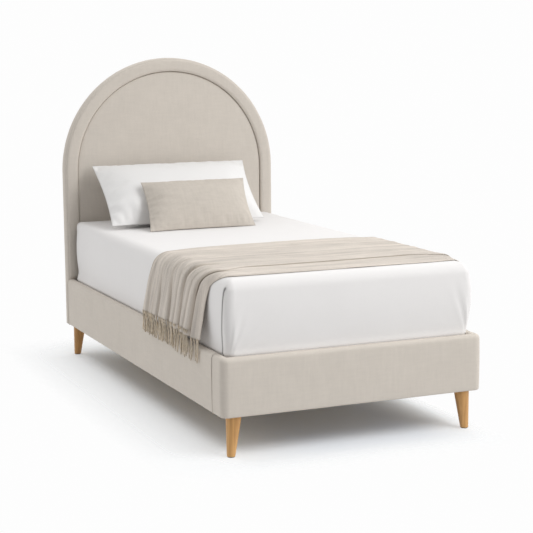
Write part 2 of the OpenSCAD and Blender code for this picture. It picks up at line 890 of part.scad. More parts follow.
// Closed grid of two faces that share their seamed edge, with diagonals that run inwards from it
module soft_solid(face, rear, grid) {
    n = grid[0];
    m = grid[1];
    count = (n + 1) * (m + 1);
    edge = function (i, j) i == 0 || j == 0 || i == n || j == m;
    front_id = function (i, j) i * (m + 1) + j;
    rear_id = function (i, j) edge(i, j) ? front_id(i, j) : count + (i - 1) * (m - 1) + j - 1;
    points = concat(
        [for (i = [0 : n], j = [0 : m]) face(2 * i / n - 1, 2 * j / m - 1)],
        [for (i = [1 : n - 1], j = [1 : m - 1]) rear(2 * i / n - 1, 2 * j / m - 1)]);
    polyhedron(points = points, faces = [for (i = [0 : n - 1], j = [0 : m - 1], k = [0 : 3])
        let (id = k < 2 ? front_id : rear_id,
             ring = [id(i, j), id(i + 1, j), id(i + 1, j + 1), id(i, j + 1)],
             first = (i < n / 2) == (j < m / 2) ? 0 : 1,
             a = ring[first], b = ring[first + 1 + k % 2], c = ring[(first + 2 + k % 2) % 4])
        k < 2 ? [a, b, c] : [a, c, b]]);
}

module pillow() {
    face = function (u, v) seated(soft_point(pillow_mid, pillow_w, pillow_h, pillow_front,
        pillow_lean, pillow_skew, pillow_sag, u, v));
    rear = function (u, v) seated(soft_point(pillow_mid, pillow_w, pillow_h, -pillow_rear,
        pillow_lean, pillow_skew, pillow_sag, u, v));
    color(white) soft_solid(face, rear, pillow_grid);
}

module cushion() {
    face = function (u, v) seated(soft_point(cushion_mid, cushion_w, cushion_h, cushion_front,
        cushion_lean, cushion_skew, 0, u, v));
    rear = function (u, v) seated(before_pillow(soft_point(cushion_mid, cushion_w, cushion_h,
        -cushion_rear, cushion_lean, cushion_skew, 0, u, v)));
    color(sand) soft_solid(face, rear, cushion_grid);
}

// Throw

throw_y_far = y_foot + throw_far;
z_hem = mattress_top - throw_drop;
x_hem = half_w + fringe_fit + (tassel_t - 2 * throw_t) / 2;
top_steps = 3;
edge_steps = 5;
drop_steps = 5;
facet_room = 0.8;
path_steps = top_steps + edge_steps + drop_steps;
cloth_cols = 22;

// How far down the drop a step of the path lies: 0 at the mattress edge, 1 at the hem
function drop_share(s) = max(0, (s - top_steps - edge_steps) / drop_steps);

// Share of the throw's width at a column, with a pair of close columns at the fold line
fold_share = 1 - throw_strip / throw_w;
fold_edge_share = fold_share + throw_t / throw_w;
fold_col = floor(cloth_cols * fold_share);
function col_share(c) = c <= fold_col ? fold_share * c / fold_col
    : mix(fold_edge_share, 1, (c - fold_col - 1) / (cloth_cols - fold_col - 1));

// From just above the mattress edge down the drop the near edge draws in and the far edge spreads
function cloth_y(v, s) =
    let (k = smooth((s - top_steps + 1) / (edge_steps + 3)))
    throw_y_far + throw_flare * k - v * (throw_w + (throw_flare - throw_draw) * k);
function fold_out(v, d) = fold_depth * pow(d, 0.8) * (0.5 - 0.5 * cos(360 * fold_count * v));

// Point of the throw on the right half, off being its distance from the mattress side
function cloth_point(s, v, off) =
    let (d = drop_share(s), bend = min(1, max(0, (s - top_steps) / edge_steps)),
         y = cloth_y(v, s), e = rest_gap + off)
    s <= top_steps
        ? let (x = flat_half * s / top_steps) [x, y, top_z(x, y) + facet_room + e]
        : d == 0
        ? let (a = 90 * (1 - bend), r = mattress_edge_r + facet_room + e)
            [flat_half + r * cos(a), y, z_edge + r * sin(a)]
        : [mix(flat_half + mattress_edge_r + facet_room + rest_gap, x_hem, d) + off + fold_out(v, d),
           y, mix(z_edge, z_hem, d)];

function signed_point(k, v, off) =
    let (s = abs(k), p = cloth_point(s, v, off)) [k < 0 ? -p[0] : p[0], p[1], p[2]];

function layers(c) = c <= fold_col ? 2 : 1;

module throw() {
    rows = 2 * path_steps;
    n = cloth_cols;
    side = (rows + 1) * (n + 1);
    id = function (i, j, k) k * side + i * (n + 1) + j;
    points = [for (k = [0, 1], i = [0 : rows], j = [0 : n])
        signed_point(i - path_steps, col_share(j), k * layers(j) * throw_t)];
    color(sand) polyhedron(points = points, faces = concat(
        [for (i = [0 : rows - 1], j = [0 : n - 1], k = [0 : 3])
            let (w = k < 2 ? 0 : 1, a = id(i, j, w), b = id(i + 1, j, w),
                 c = id(i + 1, j + 1, w), d = id(i, j + 1, w))
            k == 0 ? [a, c, b] : k == 1 ? [a, d, c] : k == 2 ? [a, b, c] : [a, c, d]],
        [for (i = [0 : rows - 1], e = [0, n], k = [0, 1])
            let (a = id(i, e, 0), b = id(i + 1, e, 0), c = id(i + 1, e, 1), d = id(i, e, 1))
            e == 0 ? (k == 0 ? [a, b, c] : [a, c, d]) : (k == 0 ? [a, c, b] : [a, d, c])],
        [for (j = [0 : n - 1], e = [0, rows], k = [0, 1])
            let (a = id(e, j, 0), b = id(e, j + 1, 0), c = id(e, j + 1, 1), d = id(e, j, 1))
            e == 0 ? (k == 0 ? [a, c, b] : [a, d, c]) : (k == 0 ? [a, b, c] : [a, c, d])]));
}

// Tassels hang from the hem, outside the rail's face
module throw_fringe_right() {
    color(sand) for (i = [0 : tassel_count - 1]) {
        v = (i + 0.5) / tassel_count;
        x = x_hem + fold_out(v, 1) + throw_t;
        box([x - tassel_t / 2, cloth_y(v, path_steps) - tassel_w / 2, z_hem - fringe_l],
            [x + tassel_t / 2, cloth_y(v, path_steps) + tassel_w / 2, z_hem]);
    }
}

module throw_fringe_left() {
    mirror([1, 0, 0]) throw_fringe_right();
}

headboard_core();
headboard_stile_left();
headboard_stile_right();
headboard_arch_rib();
headboard_lower_batten();
headboard_upper_batten();
headboard_panel_pad();
headboard_border_pad();
headboard_side_band();
headboard_back_cloth();
rail_seat_left();
rail_seat_right();
foot_board();
foot_return_left();
foot_return_right();
foot_cover();
side_board_left();
side_board_right();
side_cover_left();
side_cover_right();
ledger_left();
ledger_right();
corner_block_left();
corner_block_right();
for (i = [1 : slat_count]) slat(i);
slat_straps();
leg(0);  // leg_front_left
leg(1);  // leg_front_right
leg(2);  // leg_back_left
leg(3);  // leg_back_right
leg_plates();
foot_brackets();
head_brackets();
bracket_bolts();
bracket_screws();
tee_nuts();
leg_bolts();
leg_glides();
plate_screws();
slat_screws();
ledger_screws();
mattress();
fitted_sheet();
throw();
throw_fringe_left();
throw_fringe_right();
pillow();
cushion();
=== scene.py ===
import math

import bmesh
import bpy
import numpy as np
from mathutils import Matrix, Vector, noise


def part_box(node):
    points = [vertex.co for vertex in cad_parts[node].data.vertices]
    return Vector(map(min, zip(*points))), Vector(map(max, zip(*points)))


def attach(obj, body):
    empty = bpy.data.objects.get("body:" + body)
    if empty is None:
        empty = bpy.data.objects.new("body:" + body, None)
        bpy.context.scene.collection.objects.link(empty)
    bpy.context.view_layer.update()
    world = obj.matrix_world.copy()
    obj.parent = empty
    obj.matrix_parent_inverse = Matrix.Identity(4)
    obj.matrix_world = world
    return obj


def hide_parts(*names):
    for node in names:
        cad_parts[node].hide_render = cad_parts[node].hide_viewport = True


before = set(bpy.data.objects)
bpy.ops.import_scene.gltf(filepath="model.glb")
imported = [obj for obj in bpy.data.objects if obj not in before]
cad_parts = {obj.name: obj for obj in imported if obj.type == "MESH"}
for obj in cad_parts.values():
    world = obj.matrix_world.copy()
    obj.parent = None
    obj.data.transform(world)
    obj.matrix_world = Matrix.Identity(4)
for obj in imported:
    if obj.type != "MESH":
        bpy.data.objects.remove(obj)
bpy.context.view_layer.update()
scene = bpy.context.scene


def rounded(number):
    """A length in metres, to a tenth of a millimetre."""
    return round(number, 4)


def box(name):
    """The lowest and highest corner of a CAD piece."""
    return [[rounded(number) for number in corner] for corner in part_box(name)]


# Sizes of the bed in metres, read from the CAD pieces that stay still
foot_low, foot_high = box("foot_cover")
side_low, side_high = box("side_cover_left")
board_low, board_high = box("side_board_left")
HALF_W = foot_high[0]
Y_FOOT, Y_RETURN = foot_low[1], foot_high[1]
Y_SEAM, Y_HEAD = side_low[1], side_high[1]
LEG_H, RAIL_TOP = foot_low[2], foot_high[2]
RAIL_T = rounded(side_high[0] - side_low[0])
FRAME_LOW, BOARD_TOP = board_low[2], board_high[2]
Y_CORE = box("headboard_core")[0][1]
Y_CLOTH = box("headboard_back_cloth")[0][1]
HEAD_HALF = box("headboard_border_pad")[1][0]
PANEL_HALF = box("headboard_panel_pad")[1][0]
Z_SPRING = box("headboard_arch_rib")[0][2]
CORNER_R = 0.028

# The mattress lies on the slats, with room beside the rails and the headboard
ROOM_SIDE, ROOM_HEAD, ROOM_LOW = 0.005, 0.002, 0.0004
MAT_HALF = rounded(HALF_W - RAIL_T - ROOM_SIDE)
MAT_HALF_L = 0.9525
MAT_Y = rounded(Y_HEAD - ROOM_HEAD - MAT_HALF_L)
MAT_LOW = rounded(box("slat_1")[1][2] + ROOM_LOW)
MAT_T = 0.300
MAT_EDGE = rounded(MAT_LOW + MAT_T)

# Its corners' radius seen from above, its top's rise, its top and bottom edges' radius and its sides' bulge
MAT_ROUND = 0.032
CROWN = 0.006
EDGE_R = 0.050
LOW_R = 0.022
BULGE = 0.012


# Shader values and materials


class Value:
    """A value in a material, on which Python's own operators add Math nodes."""

    def __init__(self, finish, socket):
        self.finish, self.socket = finish, socket

    def __add__(self, other):
        return self.finish.maths("ADD", self, other)

    def __mul__(self, other):
        return self.finish.maths("MULTIPLY", self, other)

    def __sub__(self, other):
        return self.finish.maths("SUBTRACT", self, other)

    def __rsub__(self, other):
        return self.finish.maths("SUBTRACT", other, self)

    __radd__, __rmul__ = __add__, __mul__


class Finish:
    """A material under construction: a Principled shader, and the nodes that feed it."""

    def __init__(self, name, roughness=0.9, **constants):
        self.material = bpy.data.materials.new(name)
        self.material.use_nodes = True
        self.tree = self.material.node_tree
        self.shader = self.tree.nodes["Principled BSDF"]
        self.put(Roughness=roughness, **constants)

    def put(self, **sockets):
        """Sets or links the shader's own sockets, their names written with underscores."""
        for name, value in sockets.items():
            self.feed(self.shader.inputs[name.replace("_", " ")], value)

    def feed(self, socket, value):
        """Links a socket to a value in the material, or sets it to a constant."""
        if isinstance(value, Value):
            self.tree.links.new(value.socket, socket)
        else:
            socket.default_value = value

    def node(self, kind, settings=None, out=0, **sockets):
        """Adds a node of any kind. Sockets go by name, or by number as s0, s1 and so on."""
        n = self.tree.nodes.new("ShaderNode" + kind)
        for name, value in (settings or {}).items():
            setattr(n, name, value)
        for name, value in sockets.items():
            key = int(name[1:]) if name[1:].isdigit() else name.replace("_", " ")
            self.feed(n.inputs[key], value)
        return Value(self, n.outputs[out])

    def maths(self, operation, *values):
        """One Math node on any number of values."""
        return self.node("Math", {"operation": operation}, **{f"s{i}": v for i, v in enumerate(values)})

    def mix(self, share, a, b):
        """A colour between two others."""
        a, b = [(*c, 1) if isinstance(c, tuple) and len(c) == 3 else c for c in (a, b)]
        return self.node("Mix", {"data_type": "RGBA"}, 2, s0=share, s6=a, s7=b)

    def place(self):
        """Where a point lies on its piece, in metres."""
        return self.node("TexCoord", out="Object")

    def facing(self):
        """Which way the surface faces."""
        return self.node("TexCoord", out="Normal")

    def painted(self, name):
        """A number kept at each point of the mesh."""
        return self.node("Attribute", {"attribute_name": name}, out="Fac")

    def parts(self, vector):
        """The three numbers of a vector."""
        n = self.node("SeparateXYZ", Vector=vector)
        return [Value(self, n.socket.node.outputs[i]) for i in range(3)]

    def stretched(self, scale):
        """Places scaled by a different amount along each axis."""
        return self.node("VectorMath", {"operation": "MULTIPLY"}, s0=self.place(), s1=scale)

    def cloud(self, scale, detail=3.0, roughness=0.55, at=None, lift=0.0):
        """Soft random patches from 0 to 1, at so many to the metre."""
        return self.node("TexNoise", {"noise_dimensions": "4D"}, Vector=at or self.place(), W=lift,
                         Scale=scale, Detail=detail, Roughness=roughness)

    def bump(self, height, distance):
        """Raises the surface by a height from 0 to 1, so many metres at most."""
        self.put(Normal=self.node("Bump", Height=height, Distance=distance, Strength=1.0))


def linear(red, green, blue):
    """A colour given as the eye sees it, from 0 to 255, turned into light."""
    shares = (red / 255, green / 255, blue / 255)
    return tuple(((c + 0.055) / 1.055) ** 2.4 if c > 0.04 else c / 12.92 for c in shares)


def shade(colour, factor):
    """A colour made so many times as bright."""
    return tuple(c * factor for c in colour)


def scaled(axis, on_axis, across):
    """A scale for places: one number along an axis and another across it."""
    return tuple(on_axis if letter == axis else across for letter in "xyz")


def threads(finish, pitch):
    """Height of a plain weave, whichever way the cloth faces."""
    x, y, z = finish.parts(finish.place())
    facing = [finish.maths("ABSOLUTE", n) for n in finish.parts(finish.facing())]
    turn = math.pi / pitch
    waves = [finish.maths("SINE", c * turn) for c in (x, y, z)]
    crossings = (waves[1] * waves[2], waves[0] * waves[2], waves[0] * waves[1])
    height = 0.5
    for share, crossing in zip(facing, crossings):
        height = share * share * crossing * 0.5 + height
    return height


def woven(name, colour, pitch=0.0012, slub=0.08, mottle=0.09, along="z"):
    """Upholstery linen: a plain weave with thicker threads here and there and a faint cloudiness."""
    f = Finish(name, 0.92, Sheen_Weight=0.25, Sheen_Roughness=0.45, Specular_IOR_Level=0.2)
    f.put(Sheen_Tint=(*shade(colour, 1.15), 1))
    weave = threads(f, pitch)

    def crossed(long, short, lift):
        """Streaks along the warp and the weft together."""
        warp = f.cloud(1.0, 2.0, at=f.stretched(scaled(along, long, short)), lift=lift)
        weft = f.cloud(1.0, 2.0, at=f.stretched(scaled(along, short, long)), lift=lift)
        return (warp + weft) * 0.5

    slubs, nap = crossed(18.0, 420.0, 0.0), crossed(16.0, 95.0, 9.0)
    patches = f.cloud(9.0, 4.0)
    uneven = (slubs - 0.5) * (slub * 4) + (nap - 0.5) * (slub * 6) + (patches - 0.5) * (mottle * 3)
    tone = uneven + weave * 0.10 + 0.45
    f.put(Base_Color=f.mix(tone, shade(colour, 0.80), shade(colour, 1.13)))
    f.put(Roughness=0.95 - weave * 0.08)
    f.bump(weave * 0.7 + slubs * 0.6, 0.0003)
    return f.material


def bedlinen(name, colour, crease=0.0006):
    """Smooth cotton with soft creases and a very fine weave."""
    f = Finish(name, 0.85, Sheen_Weight=0.12, Sheen_Roughness=0.5, Specular_IOR_Level=0.25)
    weave = threads(f, 0.0007)
    folds = f.cloud(9.0, 3.0, 0.5)
    fine = f.cloud(60.0, 3.0, 0.6, lift=2.0)
    cloth = f.mix(folds * 0.5 + fine * 0.3 + weave * 0.1, shade(colour, 0.965), shade(colour, 1.02))
    # Painted shade: the cotton turns dark wherever the mesh carries painted shade along a seam
    f.put(Base_Color=f.mix(f.painted("tuck_shade"), cloth, shade(colour, 0.16)))
    f.put(Roughness=0.9 - folds * 0.1)
    f.bump(folds * 1.0 + fine * 0.15 + weave * 0.08, crease)
    return f.material


def herringbone(name, colour):
    """The throw's loose twill: slanting ribs that turn back in bands, with long soft streaks."""
    f = Finish(name, 0.95, Sheen_Weight=0.2, Sheen_Roughness=0.4, Specular_IOR_Level=0.15)
    f.put(Sheen_Tint=(*colour, 1))
    x, y, z = f.parts(f.place())
    band = f.maths("PINGPONG", y, 0.012)
    ribs = f.maths("SINE", (x - z + band * 1.2) * (2 * math.pi / 0.0042)) * 0.5 + 0.5
    streaks = f.cloud(1.0, 4.0, 0.65, at=f.stretched((3.0, 95.0, 3.0)))
    bands = f.cloud(1.0, 3.0, 0.6, at=f.stretched((1.2, 26.0, 1.2)), lift=7.0)
    fuzz = f.cloud(240.0, 2.0, 0.7, lift=1.0)
    wear = f.cloud(11.0, 3.0, lift=5.0)
    uneven = (streaks + bands - 1.0) * 1.6 + (fuzz + wear - 1.0) * 0.5
    tone = ribs * 0.16 + uneven + 0.42
    cloth = f.mix(tone, shade(colour, 0.70), shade(colour, 1.16))
    red, green, blue = colour
    # Painted shade: a darker, warmer colour where the mesh carries painted shade in the tucks and along the
    # upper layer's edge
    f.put(Base_Color=f.mix(f.painted("tuck_shade"), cloth, (red * 0.47, green * 0.41, blue * 0.34)))
    f.bump(ribs * 0.7 + streaks * 0.8 + fuzz * 0.5, 0.0009)
    return f.material


def yarn(name, colour):
    """Twisted fringe: each tassel a little lighter or darker than the next, with its twist showing."""
    f = Finish(name, 0.95, Sheen_Weight=0.3, Sheen_Roughness=0.4, Specular_IOR_Level=0.15)
    _, y, z = f.parts(f.place())
    each = f.cloud(1.0, 1.0, at=f.stretched((0.0, 150.0, 3.0)))
    twist = f.maths("SINE", (z + y * 0.6) * (2 * math.pi / 0.0036)) * 0.5 + 0.5
    fuzz = f.cloud(500.0, 2.0, 0.7, lift=1.0)
    tone = (each - 0.5) * 2.2 + twist * 0.35 + (fuzz - 0.5) * 0.5 + 0.35
    f.put(Base_Color=f.mix(tone, shade(colour, 0.50), shade(colour, 1.18)))
    f.bump(twist * 0.8 + fuzz * 0.4, 0.0005)
    return f.material


def timber(name, colour, dark, along, rings=1.0, gloss=0.55, fine=420.0):
    """Planed wood: long fibres, wider growth rings and a little variation from board to board."""
    f = Finish(name, gloss, Specular_IOR_Level=0.35)
    grain = f.cloud(rings, 3.0, 0.6, at=f.stretched(scaled(along, 1.2, 26.0)))
    bands = f.maths("PINGPONG", grain * 7.0, 1.0)
    fibres = f.cloud(1.0, 2.0, 0.6, at=f.stretched(scaled(along, 6.0, fine)))
    patches = f.cloud(3.0, 2.0, lift=3.0)
    tone = bands * 0.45 + fibres * 0.4 + patches * 0.35 - 0.1
    f.put(Base_Color=f.mix(tone, dark, colour))
    f.put(Roughness=gloss + 0.15 - fibres * 0.2)
    f.bump(fibres * 0.6 + bands * 0.2, 0.0002)
    return f.material


def zinc(name, colour, roughness=0.38):
    """Zinc plate: faint spangle and fine rolling marks."""
    f = Finish(name, roughness, Metallic=1.0)
    marks = f.cloud(1.0, 3.0, at=f.stretched((60.0, 900.0, 60.0)))
    spangle = f.cloud(120.0, 2.0, lift=4.0)
    f.put(Base_Color=f.mix(spangle * 0.6 + marks * 0.4, shade(colour, 0.85), shade(colour, 1.1)))
    f.put(Roughness=roughness + (marks - 0.5) * 0.25)
    f.bump(marks, 0.00008)
    return f.material


def felt(name, colour):
    """Pressed wool, dark and matt."""
    f = Finish(name, 0.97, Sheen_Weight=0.2, Specular_IOR_Level=0.1)
    hair = f.cloud(900.0, 3.0, 0.7)
    f.put(Base_Color=f.mix(hair, shade(colour, 0.6), shade(colour, 1.5)))
    f.bump(hair, 0.0005)
    return f.material


def webbing(name, colour):
    """Narrow woven strap with ribs across it."""
    f = Finish(name, 0.8, Sheen_Weight=0.1, Specular_IOR_Level=0.3)
    x, y, _ = f.parts(f.place())
    ribs = f.maths("SINE", y * (2 * math.pi / 0.0022)) * 0.5 + 0.5
    cords = f.maths("SINE", x * (2 * math.pi / 0.0018)) * 0.5 + 0.5
    dirt = f.cloud(30.0)
    f.put(Base_Color=f.mix(ribs * 0.4 + cords * 0.2 + dirt * 0.4, shade(colour, 0.85), colour))
    f.bump(ribs * 0.7 + cords * 0.4, 0.0004)
    return f.material


LINEN = linear(216, 208, 198)
panel_linen = woven("panel_linen", LINEN)
border_linen = woven("border_linen", LINEN)
back_linen = woven("back_linen", shade(LINEN, 0.95), pitch=0.0016)
# Painted light: the rails' covers take the same linen made a little lighter, standing for the light on the
# foot rail
rail_linen = woven("rail_linen", shade(LINEN, 1.02))
sheet_cotton = bedlinen("sheet_cotton", linear(240, 238, 237))
pillow_cotton = bedlinen("pillow_cotton", linear(237, 236, 235), 0.0008)
cushion_linen = woven("cushion_linen", linear(204, 196, 186), pitch=0.0014, slub=0.13, mottle=0.14, along="x")
throw_weave = herringbone("throw_weave", linear(225, 216, 206))
fringe_yarn = yarn("throw_fringe", linear(236, 222, 201))
ticking = woven("mattress_ticking", linear(226, 225, 221), pitch=0.0022, mottle=0.03)
strap_web = webbing("webbing", linear(222, 219, 212))
oak = timber("leg_oak", linear(238, 187, 123), linear(146, 97, 52), "z", gloss=0.42, fine=170.0)
PINE, PINE_DARK = linear(216, 188, 144), linear(184, 148, 102)
frame_pine = timber("frame_timber", PINE, PINE_DARK, "x")
rail_pine = timber("frame_timber_long", PINE, PINE_DARK, "y")
post_pine = timber("frame_timber_upright", PINE, PINE_DARK, "z")
slat_pine = timber("slat_pine", linear(222, 196, 152), linear(190, 156, 110), "x")
plywood = timber("plywood", linear(208, 180, 136), linear(176, 142, 98), "z", rings=0.7)
bracket_zinc = zinc("bracket_steel", linear(176, 178, 181))
screw_zinc = zinc("zinc_steel", linear(186, 187, 188), 0.3)
glide_felt = felt("felt", linear(64, 61, 58))


# Mesh helpers


def smooth_step(t):
    """From 0 to 1 with an easy start and end."""
    t = np.clip(t, 0.0, 1.0)
    return t * t * (3 - 2 * t)


def softness(points, size, seed=0.0):
    """Smooth random heights from about -1 to 1, with hills so many metres wide."""
    shift = Vector((seed, seed * 1.7, seed * 0.3))
    return np.array([noise.noise(Vector(p) / size + shift) for p in points])


def add_piece(name, points, faces, finish, smooth=True, merge=True):
    """Makes a mesh object from points and faces, without doubled points or slivers."""
    mesh = bpy.data.meshes.new(name)
    mesh.from_pydata([tuple(map(float, p)) for p in points], [], [tuple(map(int, f)) for f in faces])
    if merge:
        work = bmesh.new()
        work.from_mesh(mesh)
        bmesh.ops.remove_doubles(work, verts=work.verts, dist=1e-6)
        bmesh.ops.dissolve_degenerate(work, edges=work.edges, dist=1e-7)
        bmesh.ops.recalc_face_normals(work, faces=work.faces)
        work.to_mesh(mesh)
        work.free()
    mesh.polygons.foreach_set("use_smooth", [smooth] * len(mesh.polygons))
    mesh.materials.append(finish)
    piece = bpy.data.objects.new(name, mesh)
    scene.collection.objects.link(piece)
    return piece


def strip_faces(rows, cols, closed=False, first=0):
    """Quads of a grid of points, row after row, whose columns may run round in a ring."""
    across = cols if closed else cols - 1
    return [(first + i * cols + j, first + i * cols + (j + 1) % cols,
             first + (i + 1) * cols + (j + 1) % cols, first + (i + 1) * cols + j)
            for i in range(rows - 1) for j in range(across)]


def tube_faces(rows, cols):
    """Faces of a closed section carried through rows of points, with both ends filled in."""
    ends = [tuple(range(cols)), tuple(reversed(range((rows - 1) * cols, rows * cols)))]
    return strip_faces(rows, cols, closed=True) + ends


def ring_numbers(row, cols):
    """The numbers of the points of one row."""
    return list(range(row * cols, (row + 1) * cols))


def fan(ring, centre, back=False):
    """Triangles from a ring of point numbers to one in its middle."""
    made = [(ring[i], ring[(i + 1) % len(ring)], centre) for i in range(len(ring))]
    return [tuple(reversed(t)) for t in made] if back else made


def add_part(points, faces, more_points, more_faces):
    """Adds one more part to the points and faces of a mesh."""
    faces += [tuple(k + len(points) for k in face) for face in more_faces]
    points += more_points


def places_of(piece):
    """Where a piece's points are."""
    return np.array([p.co for p in piece.data.vertices])


def normals_of(piece):
    """Which way the surface faces at each point."""
    return np.array([p.normal for p in piece.data.vertices])


def move_points(piece, points):
    """Puts a piece's points at new places."""
    piece.data.vertices.foreach_set("co", points.ravel())
    piece.data.update()


def thicken(piece, thickness, offset):
    """Gives a cloth its thickness: an offset of -1 lays it all inside, 0 half inside and half outside."""
    shell = piece.modifiers.new("cloth_thickness", "SOLIDIFY")
    shell.thickness, shell.offset = thickness, offset


def bevel(piece, width, segments=2):
    """Eases the edges of a piece."""
    m = piece.modifiers.new("eased_edges", "BEVEL")
    m.width, m.segments, m.limit_method, m.angle_limit = width, segments, "ANGLE", math.radians(40)


def paint(piece, name, values):
    """Keeps a number at each point of a piece, for its finish to read."""
    layer = piece.data.attributes.new(name, "FLOAT", "POINT")
    layer.data.foreach_set("value", np.asarray(values, np.float32))


def sweep(name, stations, finish):
    """A closed section carried through stations, each a ring of points, with both ends filled in."""
    rings = np.array(stations)
    return add_piece(name, rings.reshape(-1, 3), tube_faces(*rings.shape[:2]), finish)


def arc(cx, cy, r, a, b, n):
    """Points of an arc in a section, from angle a to b in degrees."""
    turns = [math.radians(a + (b - a) * i / n) for i in range(n + 1)]
    return [(cx + r * math.cos(turn), cy + r * math.sin(turn)) for turn in turns]


def spaced(a, b, step):
    """Numbers from a to b, about a step apart."""
    return list(np.linspace(a, b, max(2, int(abs(b - a) / step) + 1)))


def drawn_in_ends(a, b, step, r):
    """Places from a to b, close together at both ends, each with how far the pad draws in there."""
    length = abs(b - a)
    near = [r * t for t in (0.0, 0.08, 0.3, 0.65, 1.0)]
    places = near + spaced(r + step, length - r - step, step) + [length - place for place in reversed(near)]
    made = []
    for s in places:
        t = min(1.0, min(s, length - s) / r)
        made.append((a + (b - a) * s / length, r * (1 - math.sqrt(max(0.0, 1 - (1 - t) ** 2)))))
    return made


def narrowed(section, amount, free):
    """A section whose free, outer points move inwards by an amount."""
    section = np.array(section)
    ahead = np.roll(section, -1, axis=0) - np.roll(section, 1, axis=0)
    normal = np.stack([-ahead[:, 1], ahead[:, 0]], axis=1)
    normal /= np.maximum(np.linalg.norm(normal, axis=1, keepdims=True), 1e-9)
    return section + normal * amount * np.array(free)[:, None]


def ride_and_stand_in(piece, body, slot, *nodes):
    """The piece moves with a body and stands for CAD nodes, which are hidden; the slot is not used."""
    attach(piece, body)
    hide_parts(*nodes)
    return piece


# Padded rails

# How far apart a sweep's stations are, and how far a rail's pad draws in at its ends
STATION = 0.016
END_DRAW = 0.0022
LEDGER_TOP = box("ledger_left")[1][2]


def rail_section():
    """Depth and height of a padded rail's cover, and which of its points are soft."""
    top_r, inner_r, low_r = 0.016, 0.010, 0.006
    hem, hem_in, fullness, lap = 0.0315, 0.018, 0.0014, 0.0002
    outer = [(hem, LEG_H), (hem_in, LEG_H)] + arc(low_r, LEG_H + low_r, low_r, 270, 180, 4)
    for z in spaced(LEG_H + 0.02, RAIL_TOP - top_r - 0.006, STATION):
        t = (z - LEG_H) / (RAIL_TOP - LEG_H)
        outer.append((-fullness * math.sin(math.pi * t), z))
    outer += arc(top_r, RAIL_TOP - top_r, top_r, 180, 90, 7)
    outer += arc(RAIL_T - inner_r, RAIL_TOP - inner_r, inner_r, 90, 0, 5)
    outer += [(RAIL_T, rounded(RAIL_TOP - 0.025)), (RAIL_T, rounded(LEDGER_TOP + 0.0025))]
    board_out, board_in = rounded(HALF_W + board_low[0] + lap), rounded(HALF_W + board_high[0] + 0.0003)
    top, low = rounded(BOARD_TOP - lap), rounded(FRAME_LOW + lap)
    lip = rounded(LEDGER_TOP + 0.0022)
    inner = [(board_in, lip), (board_in, top), (board_out, top), (board_out, low), (hem, low)]
    return outer + inner, [1.0] * len(outer) + [0.0] * len(inner)


def soften(piece, amount, size, seed):
    """Gives a padded piece the slight unevenness of foam under cloth."""
    points = places_of(piece)
    height = softness(points, size, seed) + 0.4 * softness(points, size * 0.4, seed + 9)
    move_points(piece, points + normals_of(piece) * (height * amount)[:, None])


def foot_cover():
    """One padded cover round the foot rail, its rounded corners and both returns."""
    section, free = rail_section()
    corner_y = Y_FOOT + CORNER_R

    def station(place, shrink=0.0):
        """The section where its depth d under the cover's face is turned into a place."""
        return [(*place(d), z) for d, z in narrowed(section, shrink, free)]

    def on_corner(angle):
        """Places at the left corner, part of the way round it."""
        def place(d):
            reach, deep = max(CORNER_R - d, 0), max(CORNER_R, d)
            return -HALF_W + deep - reach * math.cos(angle), Y_FOOT + deep - reach * math.sin(angle)
        return place

    # Only a return's open end draws in, so its run goes on past the corner and is cut off there
    run = drawn_in_ends(Y_RETURN, corner_y - 0.06, 0.012, END_DRAW)
    left = [station(lambda d: (-HALF_W + d, max(y, Y_FOOT + d)), shrink)
            for y, shrink in run if y >= corner_y]
    left += [station(on_corner(math.pi / 2 * i / 12)) for i in range(1, 12)]
    foot = [station(lambda d: (max(-HALF_W + d, min(HALF_W - d, x)), Y_FOOT + d))
            for x in spaced(-HALF_W + CORNER_R, HALF_W - CORNER_R, STATION)]
    right = [[(-x, y, z) for x, y, z in ring] for ring in reversed(left)]
    piece = sweep("foot_cover_pad", left + foot + right, rail_linen)
    soften(piece, 0.0006, 0.11, 3.0)
    return ride_and_stand_in(piece, "frame", "rail_linen", "foot_cover")


def side_cover(side, name):
    """Padded cover of one side rail, drawn in at the seam by the foot and at the headboard."""
    section, free = rail_section()
    stations = [[(side * (HALF_W - d), y, z) for d, z in narrowed(section, shrink, free)]
                for y, shrink in drawn_in_ends(Y_SEAM - 0.0005, Y_HEAD, STATION, END_DRAW)]
    piece = sweep(f"{name}_pad", stations, rail_linen)
    soften(piece, 0.0006, 0.12, 5.0 + side)
    return ride_and_stand_in(piece, "frame", "rail_linen", name)


# Headboard


def arch_stations(z_low):
    """Places up the left side, over the arch and down the right: direction outwards and origin."""
    made = [((-1.0, 0.0), z) for z in spaced(z_low, Z_SPRING, STATION)]
    made += [((-math.cos(a), math.sin(a)), Z_SPRING) for a in np.linspace(0, math.pi, 112)[1:-1]]
    return made + [((1.0, 0.0), z) for z in spaced(Z_SPRING, z_low, STATION)]


def over_arch(name, section, z_low, finish):
    """A closed section, in distance from the middle and depth, swept over the arch."""
    stations = [[(ux * d, y, z + uz * d) for d, y in section] for (ux, uz), z in arch_stations(z_low)]
    return sweep(name, stations, finish)


